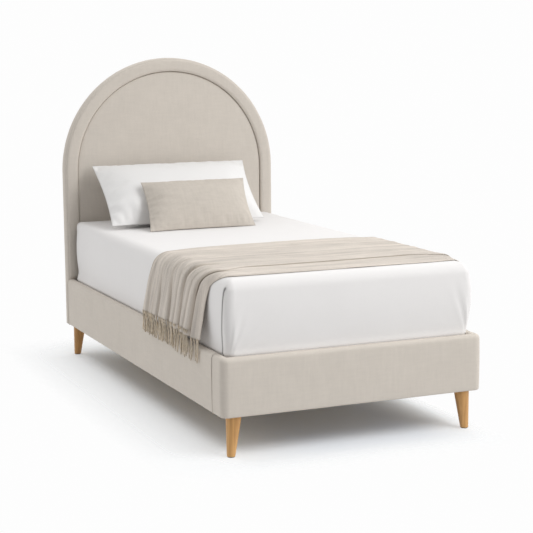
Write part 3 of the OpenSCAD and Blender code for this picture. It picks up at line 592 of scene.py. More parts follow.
def headboard_border():
    """The padded roll round the panel: a soft crown from the groove to the seam at its outer edge."""
    inner, outer, front, back = PANEL_HALF + 0.0008, HEAD_HALF - 0.0022, Y_HEAD - 0.0008, Y_CORE - 0.0004
    groove_r, groove_depth, edge_r, edge_depth = 0.017, 0.0092, 0.010, 0.0085
    section = [(inner + 0.001, back), (inner, Y_CORE - 0.0075)]
    for a in np.radians(np.linspace(180, 266, 10)):
        depth = groove_depth * (1 + math.sin(a)) + 0.0003
        section.append((inner + groove_r * (1 + math.cos(a)), front + depth))
    for t in np.linspace(0.10, 0.90, 7):
        across = (outer - inner - groove_r - edge_r) * t
        section.append((inner + groove_r + across, front + 0.0004 * (2 * t - 1) ** 2))
    for a in np.radians(np.linspace(274, 350, 7)):
        depth = edge_depth * (1 + math.sin(a)) + 0.0005
        section.append((outer - edge_r + edge_r * math.cos(a), front + depth))
    section += [(outer - 0.0022, Y_CORE - 0.010), (outer - 0.004, back)]
    piece = over_arch("headboard_border_roll", section, RAIL_TOP + 0.0006, border_linen)
    soften(piece, 0.0006, 0.08, 1.0)
    return ride_and_stand_in(piece, "frame", "border_linen", "headboard_border_pad")


# The boxing strip's section, in millimetres out from the border's edge and back from its face
BOXING = ((-6.0, 7.5), (-2.0, 5.7), (0.8, 7.7), (3.4, 13.5), (4.8, 22.5), (5.4, 32.5), (5.4, 42.5),
          (4.8, 51.0), (3.2, 56.0), (0.0, 57.9), (-4.8, 56.5), (-4.8, 32.5), (-4.8, 7.5))


def headboard_band():
    """The boxing strip round the headboard's edge, between its front and back seams."""
    section = [(HEAD_HALF + out / 1000, Y_HEAD + back / 1000) for out, back in BOXING]
    piece = over_arch("headboard_boxing", section, LEG_H, border_linen)
    soften(piece, 0.0004, 0.07, 2.0)
    return ride_and_stand_in(piece, "frame", "border_linen", "headboard_side_band")


# The height of a panel's middle, and how far apart its outline's points are on the straight sides
PANEL_MID_Z = 0.78
OUTLINE_STEP = 0.02


def arch_outline(half, z_low):
    """Outline of an arched panel, starting at the bottom left corner."""
    made = [(-half, z) for z in spaced(z_low, Z_SPRING, OUTLINE_STEP)]
    made += [(-half * math.cos(a), Z_SPRING + half * math.sin(a)) for a in np.linspace(0, math.pi, 90)[1:-1]]
    made += [(half, z) for z in spaced(Z_SPRING, z_low, OUTLINE_STEP)]
    return np.array(made + [(x, z_low) for x in np.linspace(half, -half, 40)[1:-1]])


def arched_pad(name, half, z_low, profile, back_y, finish):
    """A pad over an arched outline, whose profile gives its surface at each inset from the edge."""
    outline = arch_outline(half, z_low)
    count = len(outline)
    above, below = np.maximum(outline[:, 1] - Z_SPRING, 0), np.minimum(outline[:, 1], Z_SPRING)
    rings = []
    for inset, y in [(0.0, back_y)] + profile:
        narrower, shorter = (half - inset) / half, (Z_SPRING - z_low - inset) / (Z_SPRING - z_low)
        z = Z_SPRING - (Z_SPRING - below) * shorter + above * narrower
        rings.append(np.stack([outline[:, 0] * narrower, np.full(count, y), z], axis=1))
    middle = np.array([0.0, profile[-1][1], PANEL_MID_Z])
    for t in (0.8, 0.6, 0.4, 0.2):
        rings.append(middle + (rings[len(profile)] - middle) * t)
    points = np.concatenate(rings + [middle[None]])
    faces = strip_faces(len(rings), count, closed=True)
    faces += fan(ring_numbers(len(rings) - 1, count), len(points) - 1)
    faces.append(tuple(reversed(range(count))))
    return add_piece(name, points, faces, finish)


def headboard_panel():
    """The flat centre panel, soft where it dips into the groove beside the border."""
    depths = ((0.0002, 0.0065), (0.0008, 0.0040), (0.002, 0.0022), (0.004, 0.0013),
              (0.008, 0.0006), (0.016, -0.0002), (0.035, -0.0011), (0.08, -0.0016))
    profile = [(inset, Y_CORE - 0.0145 + depth) for inset, depth in depths]
    half, low, back = PANEL_HALF - 0.0006, FRAME_LOW + 0.0005, Y_CORE - 0.0004
    piece = arched_pad("headboard_centre_panel", half, low, profile, back, panel_linen)
    soften(piece, 0.0004, 0.2, 4.0)
    return ride_and_stand_in(piece, "frame", "panel_linen", "headboard_panel_pad")


def headboard_back():
    """Cloth stretched over a thin board and tacked round the back of the headboard."""
    depths = ((0.0004, 0.0012), (0.0012, 0.0022), (0.003, 0.0028), (0.010, 0.0029),
              (0.0125, 0.0022), (0.015, 0.0028), (0.05, 0.0029))
    profile = [(inset, Y_CLOTH + depth) for inset, depth in depths]
    half, low, back = HEAD_HALF - 0.0065, LEG_H + 0.002, Y_CLOTH + 0.0002
    piece = arched_pad("headboard_back_panel", half, low, profile, back, back_linen)
    return ride_and_stand_in(piece, "frame", "back_linen", "headboard_back_cloth")


def rail_seat(side, name):
    """Linen-covered block that carries the end of a side rail, below the border."""
    x0, x1 = PANEL_HALF + 0.0005, HEAD_HALF - 0.0055
    y0, y1 = Y_HEAD + 0.0003, Y_CORE - 0.0003
    z0, z1 = FRAME_LOW + 0.0005, RAIL_TOP - 0.0002
    points = [(side * x, y, z) for z in (z0, z1) for x, y in ((x0, y0), (x1, y0), (x1, y1), (x0, y1))]
    faces = [(0, 1, 2, 3), (4, 5, 6, 7), (0, 1, 5, 4), (1, 2, 6, 5), (2, 3, 7, 6), (3, 0, 4, 7)]
    piece = add_piece(f"{name}_block", points, faces, border_linen, smooth=False)
    bevel(piece, 0.002, 3)
    return ride_and_stand_in(piece, "frame", "rail_linen", name)


# Mattress and fitted sheet


def swell(t):
    """How far the mattress's sides have swollen at a share of their height, from 0 to 1."""
    return np.sin(np.radians(135 * np.clip(t, 0, 1)))


# The top is flat within FLAT_HALF and FLAT_L, and its edge turns down from Z_ARC
EDGE_BULGE = BULGE * float(swell(1.0))
FLAT_HALF = MAT_HALF + EDGE_BULGE - EDGE_R
FLAT_L = MAT_HALF_L - EDGE_R
Z_ARC = MAT_EDGE - EDGE_R
COLUMNS_PER_METRE = 70

# How far the sides press outwards just above the rails, and from what height
RAIL_BULGE, BULGE_FROM = 0.0042, 0.356

# The sheet's thickness, how far inside it the mattress lies, and its hem under the mattress: its width
# and the shares of it at which rows of points lie
SHEET_T, TICKING_IN = 0.0012, 0.0032
HEM_WIDTH, HEM_ROWS = 0.07, (1.0, 0.75, 0.5, 0.25)
QUILT, QUILT_DEPTH = 0.11, 0.0022


def crown(x, y):
    """Height of the mattress top."""
    k = np.clip(np.maximum(np.abs(x) / FLAT_HALF, np.abs(y - MAT_Y) / FLAT_L), 0, 1)
    return MAT_EDGE + CROWN * (1 - k * k)


def side_shares(side):
    """Places along one straight side of the mattress, as shares of it, closer together near its corners."""
    across = side in (0, 2)
    length = 2 * ((MAT_HALF if across else MAT_HALF_L) - MAT_ROUND)
    near = np.arange(0.004, 0.180, 0.006) if across else np.arange(0.0012, 0.066, 0.0012)
    middle = np.linspace(near[-1], length - near[-1], int(length * COLUMNS_PER_METRE))[1:-1]
    return np.concatenate([near, middle, length - near[::-1]]) / length


SIDE_SHARES = [side_shares(side) for side in range(4)]


def outline_points(hx, hy, r, out):
    """The outline at one height, swollen at the sides and the foot end."""
    r = max(r, 0.0005)
    corners = []
    for turn, (sx, sy) in enumerate(((1, 1), (-1, 1), (-1, -1), (1, -1))):
        a = np.radians(90 * turn + np.linspace(0, 90, 19))
        x = sx * (hx + out - r) + r * np.cos(a)
        y = MAT_Y + sy * (hy - r) + r * np.sin(a) - (out if sy < 0 else 0)
        corners.append(np.stack([x, y], axis=1))
    made = []
    for turn, shares in enumerate(SIDE_SHARES):
        start, end = corners[turn][-1], corners[(turn + 1) % 4][0]
        made += [corners[turn], start + (end - start) * shares[:, None]]
    return np.concatenate(made)


def mattress_rows(skin):
    """Outline rows from the hem under the mattress, up its sides and over its top edge."""
    hx, hy = MAT_HALF - skin, MAT_HALF_L - skin
    z0, z1 = MAT_LOW + skin, MAT_EDGE - skin
    rt, rb, rc = EDGE_R - skin, LOW_R - skin, MAT_ROUND - skin
    rows = [(hx - rb - HEM_WIDTH * t, hy - rb - HEM_WIDTH * t, 0.012, z0, 0.0) for t in HEM_ROWS]
    for a in np.radians(np.linspace(0, 90, 6)):
        d = rb * (1 - math.sin(a))
        rows.append((hx - d, hy - d, max(rc - d, 0.010), z0 + rb * (1 - math.cos(a)), 0.0))
    for t in np.concatenate([[0.012, 0.03, 0.05, 0.075], np.linspace(0.1, 1, 24)[:-1]]):
        z = z0 + rb + (z1 - rt - z0 - rb) * t
        over_rail = RAIL_BULGE * float(smooth_step((z - BULGE_FROM) / 0.012)) * max(0.0, 1 - t / 0.6)
        rows.append((hx, hy, rc, z, max(BULGE * float(swell(t)), over_rail)))
    for a in np.radians(np.linspace(0, 90, 11)):
        d = rt * (1 - math.cos(a))
        rows.append((hx - d, hy - d, max(rc - d, 0.002), z1 - rt * (1 - math.sin(a)), EDGE_BULGE))
    return rows


def squared_at_head(rings, skin):
    """The rows again, with straighter sides and squarer top edges near the head."""
    x, z = np.abs(rings[..., 0]), rings[..., 2]
    near = smooth_step((rings[..., 1] - 0.35) / 0.50)
    r = EDGE_R - skin
    across, up = (x - FLAT_HALF) / r, (z - Z_ARC) / r
    curved = (across > 0) & (across < 1) & (up > 0)
    power = 1 - 0.5 * near
    x = np.where(curved, FLAT_HALF + r * np.clip(across, 1e-6, 1) ** power, x)
    z = np.where(curved, Z_ARC + r * np.clip(up, 1e-6, 1) ** power, z)
    x -= near * 0.010 * smooth_step((x - 0.38) / 0.09) * smooth_step((z - 0.36) / 0.05)
    return np.stack([np.sign(rings[..., 0]) * x, rings[..., 1], z], axis=-1)


def covered_mattress(skin, hem=True):
    """Rows of points over the mattress, a skin's depth inside its sheet, from below up to its top."""
    rings = []
    for hx, hy, r, z, out in mattress_rows(skin)[0 if hem else len(HEM_ROWS):]:
        xy = outline_points(hx, hy, r, out)
        rings.append(np.column_stack([xy, np.full(len(xy), z)]))
    edge, centre = rings[-1][:, :2], np.array([0.0, MAT_Y])
    for k in np.concatenate([[0.985, 0.96, 0.93], np.linspace(0.89, 0.06, 22)]):
        xy = centre + (edge - centre) * k
        rings.append(np.column_stack([xy, crown(xy[:, 0], xy[:, 1]) - skin]))
    return squared_at_head(np.array(rings), skin)


# Heights on the foot panel's seam, and how far it stands there from the end of the mattress
SEAM_Z = (0.37, 0.40, 0.44, 0.48, 0.52, 0.56, 0.585, 0.60, 0.615)
SEAM_IN = (0.046, 0.043, 0.037, 0.030, 0.0255, 0.0228, 0.020, 0.0145, 0.0104)
HEAD_SEAM_IN = 0.014
WRAP_DEPTH, GROOVE_DEPTH = 0.0022, 0.0020
DRAG_DEPTH, FAINT_DRAG_DEPTH = 0.0024, 0.0009
MOST_DRAWN_IN = 0.0021
FULLER_CORNER = 0.006


def corner_pleats(x, y, z):
    """The foot and head panels wrap round each corner, and their seam bows along the side.

    Gives how far the cloth stands out there, and how much painted shade lies along the seam at each point."""
    seam_y = MAT_HALF_L - np.where(y < 0, np.interp(z, SEAM_Z, SEAM_IN), HEAD_SEAM_IN)
    beyond = np.abs(y - MAT_Y) - seam_y
    on_side = smooth_step((np.abs(x) - 0.44) / 0.03)
    on_side = on_side * smooth_step((z - 0.350) / 0.008) * smooth_step((0.610 - z) / 0.010)
    wrap = WRAP_DEPTH * np.where(beyond > 0, np.exp(-beyond / 0.020), 0.0) * smooth_step(beyond / 0.004)
    groove = -GROOVE_DEPTH * np.exp(-(beyond / 0.0045) ** 2)
    # Painted shade: a thin dark line along each corner seam, standing in for the shade in the folded seam
    tuck_shade = np.exp(-(beyond / np.where(y < 0, 0.0058, 0.009)) ** 2)
    return (wrap + groove) * on_side, tuck_shade * on_side


def drag_folds(x, y, z):
    """Folds dragged out of the lower corners, deepest at the foot's right corner."""
    right = (x > 0) & (y < 0)
    aside, above = 0.478 - np.abs(x), z - 0.345
    spread, reach = np.arctan2(above, np.maximum(aside, 1e-4)), np.hypot(aside, above)
    steep = np.where(right, np.exp(-((spread - 1.42) / 0.24) ** 2), 1.0)
    by_corner = smooth_step((np.abs(y - MAT_Y) - 0.93) / 0.02) * smooth_step((aside + 0.020) / 0.03)
    depth = np.where(right, DRAG_DEPTH, FAINT_DRAG_DEPTH) * steep * by_corner
    ripple = np.cos(spread * np.where(right, 22, 24) + 1.5 * np.sin(spread * 3) + np.sign(x))
    ripple = ripple + 0.5 * np.cos(spread * 31 + 1.0)
    length = np.exp(-((reach - 0.10) / np.where(right, 0.085, 0.065)) ** 2)
    return depth * ripple * length * smooth_step((z - 0.362) / 0.02)


def fitted_sheet():
    """The sheet, stretched over the mattress, with a mitred pleat at each corner and faint drag lines."""
    rings = covered_mattress(0.0)
    rows, cols = rings.shape[:2]
    flat = rings.reshape(-1, 3)
    x, y, z = flat.T.copy()
    pleat, tuck_shade = corner_pleats(x, y, z)
    swing = softness(flat, 0.16, 11.0) * 0.0010 + softness(flat, 0.06, 12.0) * 0.00035
    push = pleat + drag_folds(x, y, z) + swing * smooth_step((0.628 - z) / 0.03)
    push = np.maximum(push, -MOST_DRAWN_IN)
    # The foot's right corner is a little fuller than the left one
    at_corner = smooth_step((x - 0.40) / 0.07) * smooth_step((-0.86 - y) / 0.06)
    fuller = FULLER_CORNER * at_corner * np.sin(np.clip((z - 0.37) / 0.24, 0, 1) * math.pi)
    flat[:, 0] += np.sign(x) * smooth_step((np.abs(x) - 0.40) / 0.08) * push + fuller
    flat[:, 1] += np.sign(y - MAT_Y) * smooth_step((np.abs(y - MAT_Y) - 0.87) / 0.08) * push
    on_top = smooth_step((z - 0.628) / 0.006)
    flat[:, 2] -= on_top * (0.0009 + 0.0007 * softness(flat * np.array([1, 1, 0]), 0.13, 13.0))
    faces = strip_faces(rows, cols, closed=True) + fan(ring_numbers(rows - 1, cols), rows * cols)
    centre = np.array([[0.0, MAT_Y, MAT_EDGE + CROWN - 0.0012]])
    piece = add_piece("fitted_sheet_cover", np.concatenate([flat, centre]), faces, sheet_cotton, merge=False)
    # Painted shade along the corner seams, which the sheet's finish mixes into its colour
    paint(piece, "tuck_shade", np.append(tuck_shade, 0.0))
    thicken(piece, SHEET_T, -1.0)
    return ride_and_stand_in(piece, "mattress", "sheet_cotton", "fitted_sheet")


def mattress():
    """The mattress under its sheet, quilted on its underside."""
    sides = covered_mattress(TICKING_IN, hem=False)
    base = sides[0]
    middle = np.array([0.0, MAT_Y, base[0, 2]])
    below = [middle + (base - middle) * k for k in (0.1, 0.3, 0.5, 0.7, 0.85, 0.93, 0.975)]
    rings = np.concatenate([np.array(below), sides])
    rows, cols = rings.shape[:2]
    flat = rings.reshape(-1, 3)
    under = smooth_step((MAT_LOW + 0.006 - flat[:, 2]) / 0.003)
    quilt = np.abs(np.sin(flat[:, 0] * math.pi / QUILT) * np.sin(flat[:, 1] * math.pi / QUILT))
    flat[:, 2] += under * QUILT_DEPTH * (1 - np.sqrt(np.clip(quilt, 0, 1)))
    top, low = len(flat), len(flat) + 1
    faces = strip_faces(rows, cols, closed=True)
    faces += fan(ring_numbers(rows - 1, cols), top) + fan(ring_numbers(0, cols), low, back=True)
    ends = np.array([[0.0, MAT_Y, MAT_EDGE + CROWN - 0.0045], [0.0, MAT_Y, MAT_LOW + TICKING_IN]])
    piece = add_piece("mattress_core", np.concatenate([flat, ends]), faces, ticking)
    return ride_and_stand_in(piece, "mattress", "mattress_ticking", "mattress")


# Throw and fringes

# The far edge's place along the bed, the lower layer's width, and the share of it that the upper one covers
THROW_FAR, THROW_W, FOLD_SHARE = -0.2245, 0.698, 0.785
# Shares of the width: where the fold's bend ends, and how far the upper layer slides where it hangs
FOLD_START, SLIDE = 0.012, 0.087
# How far the near edge is drawn in where the throw hangs, and how far the far edge flares out there
THROW_DRAW, THROW_FLARE = 0.118, 0.038
# Where its hems hang, and how far past the rail its tassels may stand
HEM_Z, HEM_X, PAST_RAIL = 0.4034, 0.5240, 0.0037
# The cloth's thickness, its height over the sheet and both layers' own heights above that
CLOTH_T, OVER_SHEET, LOW_LAYER, HIGH_LAYER = 0.0018, 0.0012, 0.0022, 0.0045
ROW_STEP = 0.0085

# The path over the bed: flat on top, an arc over the mattress's edge and a straight drop to the hem
ARC_R = EDGE_R + OVER_SHEET
REACH, FALL = HEM_X - FLAT_HALF, Z_ARC - HEM_Z
ARC_END = math.atan2(FALL, REACH) + math.asin(ARC_R / math.hypot(REACH, FALL))
ARC_L = ARC_R * ARC_END
DROP_L = (FALL + ARC_R * math.cos(ARC_END)) / math.sin(ARC_END)
PATH_HALF = FLAT_HALF + ARC_L + DROP_L

# Each tuck's place at the bed's edge and at the hem, its width, its depth, and how much of that
# depth it has before it hangs, all as shares
TUCKS = (
    (0.0, 0.0, 0.040, 0.8, 1.0),
    (0.10, 0.135, 0.020, 0.40, 0.3),
    (0.19, 0.215, 0.012, 0.30, 0.0),
    (0.25, 0.320, 0.019, 0.75, 0.2),
    (0.43, 0.510, 0.019, 1.00, 0.35),
    (0.56, 0.600, 0.012, 0.30, 0.6),
    (0.65, 0.690, 0.021, 1.00, 0.9),
    (0.78, 0.775, 0.012, 0.35, 0.9),
    (0.872, 0.872, 0.017, 1.0, 0.7),
    (1.0, 1.0, 0.036, 0.92, 1.0),
)

# Each crease's place across the throw, its width and its height, as shares
CREASES = (
    (0.085, 0.016, 0.6),
    (0.165, 0.014, 0.8),
    (0.275, 0.020, 0.9),
    (0.345, 0.012, 0.7),
    (0.455, 0.018, 1.0),
    (0.525, 0.012, 0.6),
    (0.635, 0.020, 1.0),
    (0.715, 0.012, 0.7),
)


def throw_tucks(w, fall):
    """How deep each of the throw's lengthwise tucks is, from 0 to 1, at a share w of its width."""
    total = np.zeros(np.broadcast(w, fall).shape)
    for high, low, width, depth, start in TUCKS:
        place = high + (low - high) * fall
        total = np.maximum(total, depth * (start + (1 - start) * fall) * np.exp(-((w - place) / width) ** 2))
    return total


def throw_creases(w, s):
    """Narrow raised creases that run on across the top of the bed and come and go along it."""
    total = np.zeros_like(w)
    for i, (place, width, height) in enumerate(CREASES):
        drift = 0.006 * np.sin(s * 5.3 + i * 2.1)
        fade = 0.55 + 0.45 * np.sin(s * (6.1 + i * 0.7) + i * 1.9)
        total += height * fade * np.exp(-((w - place - drift) / width) ** 2)
    return total


def cloth_noise(along, across, size, seed):
    """Smooth random heights at places on a cloth."""
    places = np.stack([along, across, np.zeros_like(along)], axis=-1)
    return softness(places.reshape(-1, 3), size, seed).reshape(along.shape)


def throw_y(s, w):
    """Where a share w of the throw's width lies along the bed: drawn together where it hangs."""
    d = np.abs(s)
    drawn = smooth_step(np.interp(d, (0.2926, 0.4389, 0.5174, 0.587), (0, 0.125, 0.75, 1)))
    drawn = drawn * np.where(s > 0, 0.25 + 0.75 * smooth_step((d - 0.535) / 0.05), 1.0)
    y = THROW_FAR + THROW_FLARE * drawn - w * (THROW_W + (THROW_FLARE - THROW_DRAW) * drawn)
    return y - 0.030 * np.exp(-((d - 0.47) / 0.09) ** 2) * (1 - smooth_step(w / 0.4))


def throw_lift(s, v, w, y, upper, tuck_shade, wander):
    """How far the cloth stands off what lies under it, above its own layer's height."""
    d = np.abs(s)
    drop = np.clip((d - FLAT_HALF - ARC_L) / DROP_L, 0, 1)
    stages = (0, 0.25, FLAT_HALF, FLAT_HALF + ARC_L, PATH_HALF)
    rise = np.interp(d, stages, (0.0008, 0.0020, 0.0045, 0.0115, 0.0180))
    rise = rise * (1 - 0.85 * (1 - upper) * smooth_step((v - 0.88) / 0.09))
    uneven = 0.0012 * np.clip(wander, -1, 1) + 0.0008 * cloth_noise(s * 1.2, y * 2.4, 0.07, 25.0)
    creases = 0.0032 * throw_creases(w, s) * (1 - 0.5 * drop)
    lift = (rise + uneven + creases) * (1 - tuck_shade) + 0.0010 * drop * upper
    by_edge = smooth_step((v / FOLD_SHARE - 0.90) / 0.10)
    lift = lift + upper * by_edge * (0.0003 + 0.0028 * smooth_step((d - 0.40) / 0.12))
    # Both hems settle on what lies under them along the top of the bed
    high_hem = 0.0007 * smooth_step((v / FOLD_SHARE - 0.985) / 0.015)
    low_hem = 0.0019 * smooth_step((v - 0.975) / 0.025)
    return lift - np.where(upper > 0.5, high_hem, low_hem) * (1 - smooth_step((d - 0.47) / 0.05))


def throw_points(s, v, off, upper):
    """Places on the throw: s metres along it from the middle, at a share v of its width from the far edge.

    Also gives how deep in a tuck each place lies, kept only towards the bed's sides, for the painted shade in
    the tucks."""
    s, v, off, upper = np.broadcast_arrays(*(np.asarray(a, float) for a in (s, v, off, upper)))
    d = np.abs(s)
    share = smooth_step(v / FOLD_SHARE)
    w = v + upper * SLIDE * smooth_step((d - 0.31) / 0.16) * share
    y = throw_y(s, w)
    wander = cloth_noise(s * 0.5, y, 0.11, 21.0)
    fall = smooth_step((d - FLAT_HALF - 0.02) / (PATH_HALF - FLAT_HALF - 0.02))
    tuck_shade = throw_tucks(w + 0.007 * wander * smooth_step(v / 0.05) * smooth_step((1 - v) / 0.05), fall)
    tuck_shade = tuck_shade * np.where(s > 0, smooth_step((d - 0.49) / 0.06), 1.0)
    lift = off + throw_lift(s, v, w, y, upper, tuck_shade, wander)
    # The lower layer hangs a little longer than the upper one towards the foot
    longer = -0.030 - 0.040 * upper * share + 0.080 * (1 - upper) * smooth_step(v)
    run = np.clip(d - FLAT_HALF - ARC_L, 0, None) * (1 + longer)
    a, r = np.clip((d - FLAT_HALF) / ARC_R, 0, ARC_END), ARC_R + lift
    on_top = d <= FLAT_HALF
    x = np.where(on_top, d, FLAT_HALF + r * np.sin(a) + run * math.cos(ARC_END))
    z = np.where(on_top, crown(d, y) + OVER_SHEET + lift, Z_ARC + r * np.cos(a) - run * math.sin(ARC_END))
    return np.stack([np.where(s < 0, -x, x), y, z], axis=-1), tuck_shade * smooth_step((d - 0.36) / 0.10)


def throw():
    """One cloth folded lengthwise, laid across the bed: a wide lower layer and a narrower upper one."""
    # Each column has its share of the width, its height, 1 on the upper layer, and the fold's bulge
    bend_r = (HIGH_LAYER - LOW_LAYER) / 2
    columns = [(v, LOW_LAYER, 0.0, 0.0) for v in np.linspace(1, FOLD_START, 160)]
    columns += [(0.0, LOW_LAYER + bend_r * (1 - math.cos(a)), 0.0, bend_r * math.sin(a))
                for a in np.radians(np.linspace(0, 180, 7))]
    columns += [(v, HIGH_LAYER, 1.0, 0.0) for v in np.linspace(FOLD_START, FOLD_SHARE, 126)]
    across, off, is_upper, bulge = np.array(columns).T[:, None, :]
    right = np.array(spaced(0.004, PATH_HALF, ROW_STEP))
    along = np.concatenate([-right[::-1], [0.0], right])[:, None]
    grid, tuck_shade = throw_points(along, across, off, is_upper)
    grid[..., 1] += bulge
    faces = strip_faces(*grid.shape[:2])
    piece = add_piece("throw_cloth", grid.reshape(-1, 3), faces, throw_weave, merge=False)
    # Painted shade: the cloth is darker deep in the tucks, less so by the near hem, and a thin painted shadow
    # lies on the lower layer along the upper layer's edge
    shade_share_at_hem = 1 - 0.75 * (1 - is_upper) * smooth_step((across - 0.93) / 0.04)
    by_edge = (1 - is_upper) * np.exp(-((across - FOLD_SHARE - 0.006) / 0.008) ** 2)
    by_edge = by_edge * (1 - smooth_step((np.abs(along) - 0.36) / 0.06))
    paint(piece, "tuck_shade", np.maximum(0.62 * tuck_shade * shade_share_at_hem, 0.95 * by_edge).ravel())
    thicken(piece, CLOTH_T, 0.0)
    return ride_and_stand_in(piece, "throw", "throw_weave", "throw")


# Tassels: 1 on the upper layer, the layer's height, the share of the width where they end, and their number
TASSEL_ROWS = ((0.0, LOW_LAYER, 0.985, 44), (1.0, HIGH_LAYER, FOLD_SHARE * 0.99, 40))
TASSEL_L, TWIST_L = 0.094, 0.019
YARN_R, COIL_R, KNOT_R = 0.0015, 0.0011, 0.0012


def strand(path, radii, sides=6):
    """A thin round yarn along a path, as points and faces."""
    points = []
    for i, (p, r) in enumerate(zip(path, radii)):
        ahead = path[min(i + 1, len(path) - 1)] - path[max(i - 1, 0)]
        ahead = ahead / np.linalg.norm(ahead)
        one = np.cross(ahead, (1.0, 0.0, 0.0))
        one /= np.linalg.norm(one)
        two = np.cross(ahead, one)
        turns = np.arange(sides) * 2 * math.pi / sides
        points += [p + r * (one * math.cos(a) + two * math.sin(a)) for a in turns]
    return points, tube_faces(len(path), sides)


def twisted_yarn(side, start, length, out, sway, bow, phase, turn):
    """Path and thickness of one of a tassel's two yarns, from its knot at the hem down to its tip."""
    path, radii = [], []
    too_far = max(0.0, abs(start[0]) - HALF_W - PAST_RAIL - out)
    for t in np.linspace(0, 1, 12):
        spin = phase + turn + t * length / TWIST_L * math.pi
        coil = COIL_R * min(1.0, t / 0.12)
        inward = too_far * smooth_step(t / 0.6) * 0.6
        path.append(start + np.array([side * (coil * math.cos(spin) - inward + out * t),
                                      coil * math.sin(spin) + sway * t + bow * math.sin(t * 4 + phase),
                                      -length * t]))
        knot = KNOT_R * math.exp(-((t - 0.07) / 0.04) ** 2)
        radii.append(YARN_R * (1 - 0.35 * max(0, t - 0.85) / 0.15) + knot)
    return np.array(path), radii


def fringe(side, name):
    """Twisted tassels along both layers' hems at one end of the throw, each knotted and swaying a little."""
    chance = np.random.default_rng(40 + side)
    points, faces = [], []
    for upper, off, last, count in TASSEL_ROWS:
        for i in range(count):
            v = FOLD_START + (last - FOLD_START) * (i + 0.5 + chance.uniform(-0.22, 0.22)) / count
            start = throw_points([side * (PATH_HALF - 0.002)], [v], [off], [upper])[0][0]
            length = TASSEL_L * chance.uniform(0.86, 1.0)
            sway, lean = chance.normal(0, 0.0038), chance.normal(0, 0.0018)
            phase = chance.uniform(0, 2 * math.pi)
            bow = chance.uniform(0.5, 1.4) * lean
            out = 0.0028 * upper + chance.uniform(0, 0.004)
            for turn in (0.0, math.pi):
                path, radii = twisted_yarn(side, start, length, out, sway, bow, phase, turn)
                add_part(points, faces, *strand(path, radii))
    piece = add_piece(f"{name}_yarn", points, faces, fringe_yarn, merge=False)
    return ride_and_stand_in(piece, "throw", "throw_fringe", name)


def lay_throw():
    """The throw with its two fringes."""
    fringes = [fringe(-1, "throw_fringe_left"), fringe(1, "throw_fringe_right")]
    piece = throw()
    2 * PATH_HALF


# Pillow and cushion


class Filling:
    """A soft filled case between two seamed faces, leaning back on the bed."""

    def __init__(self, width, height, front, rear, lean, mid, skew, sag, drawn, tucked=0.0):
        self.width, self.height, self.front, self.rear, self.tucked = width, height, front, rear, tucked
        self.mid, self.skew, self.sag, self.drawn = np.array(mid), skew, sag, drawn
        turn = math.radians(lean)
        self.up = np.array([0, math.cos(turn), math.sin(turn)])
        self.out = np.array([0, -math.sin(turn), math.cos(turn)])

    def fullness(self, u, v):
        """How full the case is at shares of its width and height, from 0 at its seam to 1."""
        edge = (1 - np.abs(u) ** 3) * (1 - np.abs(v) ** 3)
        return np.clip(edge, 0, 1) ** 0.75 * (1 - self.sag * (v + 1) / 2)

    def place(self, u, v, depth):
        """Points of one face: depth is how far its middle stands in front of the seam, or behind it."""
        x = self.width / 2 * u - self.drawn[0] * (1 - v * v) * u ** 3 + self.skew * v
        x = x + self.tucked * (1 - u) / 2 * ((1 - v) / 2) ** 1.5
        y = self.height / 2 * v - self.drawn[1] * (1 - u * u) * v ** 3
        made = self.mid + x[:, None] * np.array([1.0, 0, 0]) + y[:, None] * self.up
        return made + (depth * self.fullness(u, v))[:, None] * self.out

    def read(self, points):
        """Width share, height share and distance in front of the seam for points near the case."""
        r = points - self.mid
        v = 2 * (r @ self.up) / self.height
        return 2 * (r[:, 0] - self.skew * v) / self.width, v, r @ self.out


PILLOW = Filling(width=0.750, height=0.455, front=0.1040, rear=0.0912, lean=31,
                 mid=(-0.058, 0.70549, 0.77257), skew=0.028, sag=0.35, drawn=(0.016, 0.006), tucked=0.026)
CUSHION = Filling(width=0.495, height=0.300, front=0.0640, rear=0.0500, lean=40,
                  mid=(-0.043, 0.48138, 0.73681), skew=0.018, sag=0.0, drawn=(0.012, 0.003))
# How flat a case is before it is filled, the filling's pressure and the furthest that a point moves
UNFILLED, PRESSURE, MOST_MOVED = 0.90, 3.0, 0.022
FRAMES = 20

# Gathers: an edge, the share along it, how wide they spread, how long they are, their pitch and depth
PILLOW_GATHERS = (
    ("left", -0.45, 0.085, 0.24, 0.080, 0.0042),
    ("bottom", -0.70, 0.06, 0.10, 0.034, 0.0028),
    ("right", -0.5, 0.06, 0.16, 0.045, 0.0022),
    ("top", 0.35, 0.12, 0.10, 0.060, 0.0010),
)
CUSHION_GATHERS = (
    ("left", 0.04, 0.026, 0.085, 0.027, 0.0056),
    ("left", -0.50, 0.024, 0.055, 0.020, 0.0032),
    ("top", 0.15, 0.030, 0.06, 0.018, 0.0020),
    ("bottom", 0.80, 0.040, 0.07, 0.024, 0.0016),
    ("right", 0.0, 0.05, 0.08, 0.028, 0.0012),
)


def towards_seams(count):
    """Shares from -1 to 1 that lie closer together towards both ends."""
    even = np.linspace(-1, 1, count + 1)
    return np.sin(even * math.pi / 2) * 0.35 + even * 0.65


def case(name, filling, columns, rows, finish):
    """The seamed case before it is filled, a little flatter than it will be."""
    u, v = (g.ravel() for g in np.meshgrid(towards_seams(columns), towards_seams(rows), indexing="ij"))
    front, rear = filling.place(u, v, filling.front * UNFILLED), filling.place(u, v, -filling.rear * UNFILLED)
    faces = strip_faces(columns + 1, rows + 1)
    faces += [tuple(reversed(f)) for f in strip_faces(columns + 1, rows + 1, first=len(u))]
    piece = add_piece(name, np.concatenate([front, rear]), faces, finish)
    lift = filling.read(places_of(piece))[2]
    seam = {i for i, height in enumerate(lift) if abs(height) < 2e-5}
    piece.vertex_groups.new(name="seam").add(sorted(seam), 1.0, "REPLACE")
    crease = piece.data.attributes.new("crease_edge", "FLOAT", "EDGE")
    crease.data.foreach_set("value", [float(set(edge.vertices) <= seam) for edge in piece.data.edges])
    return piece


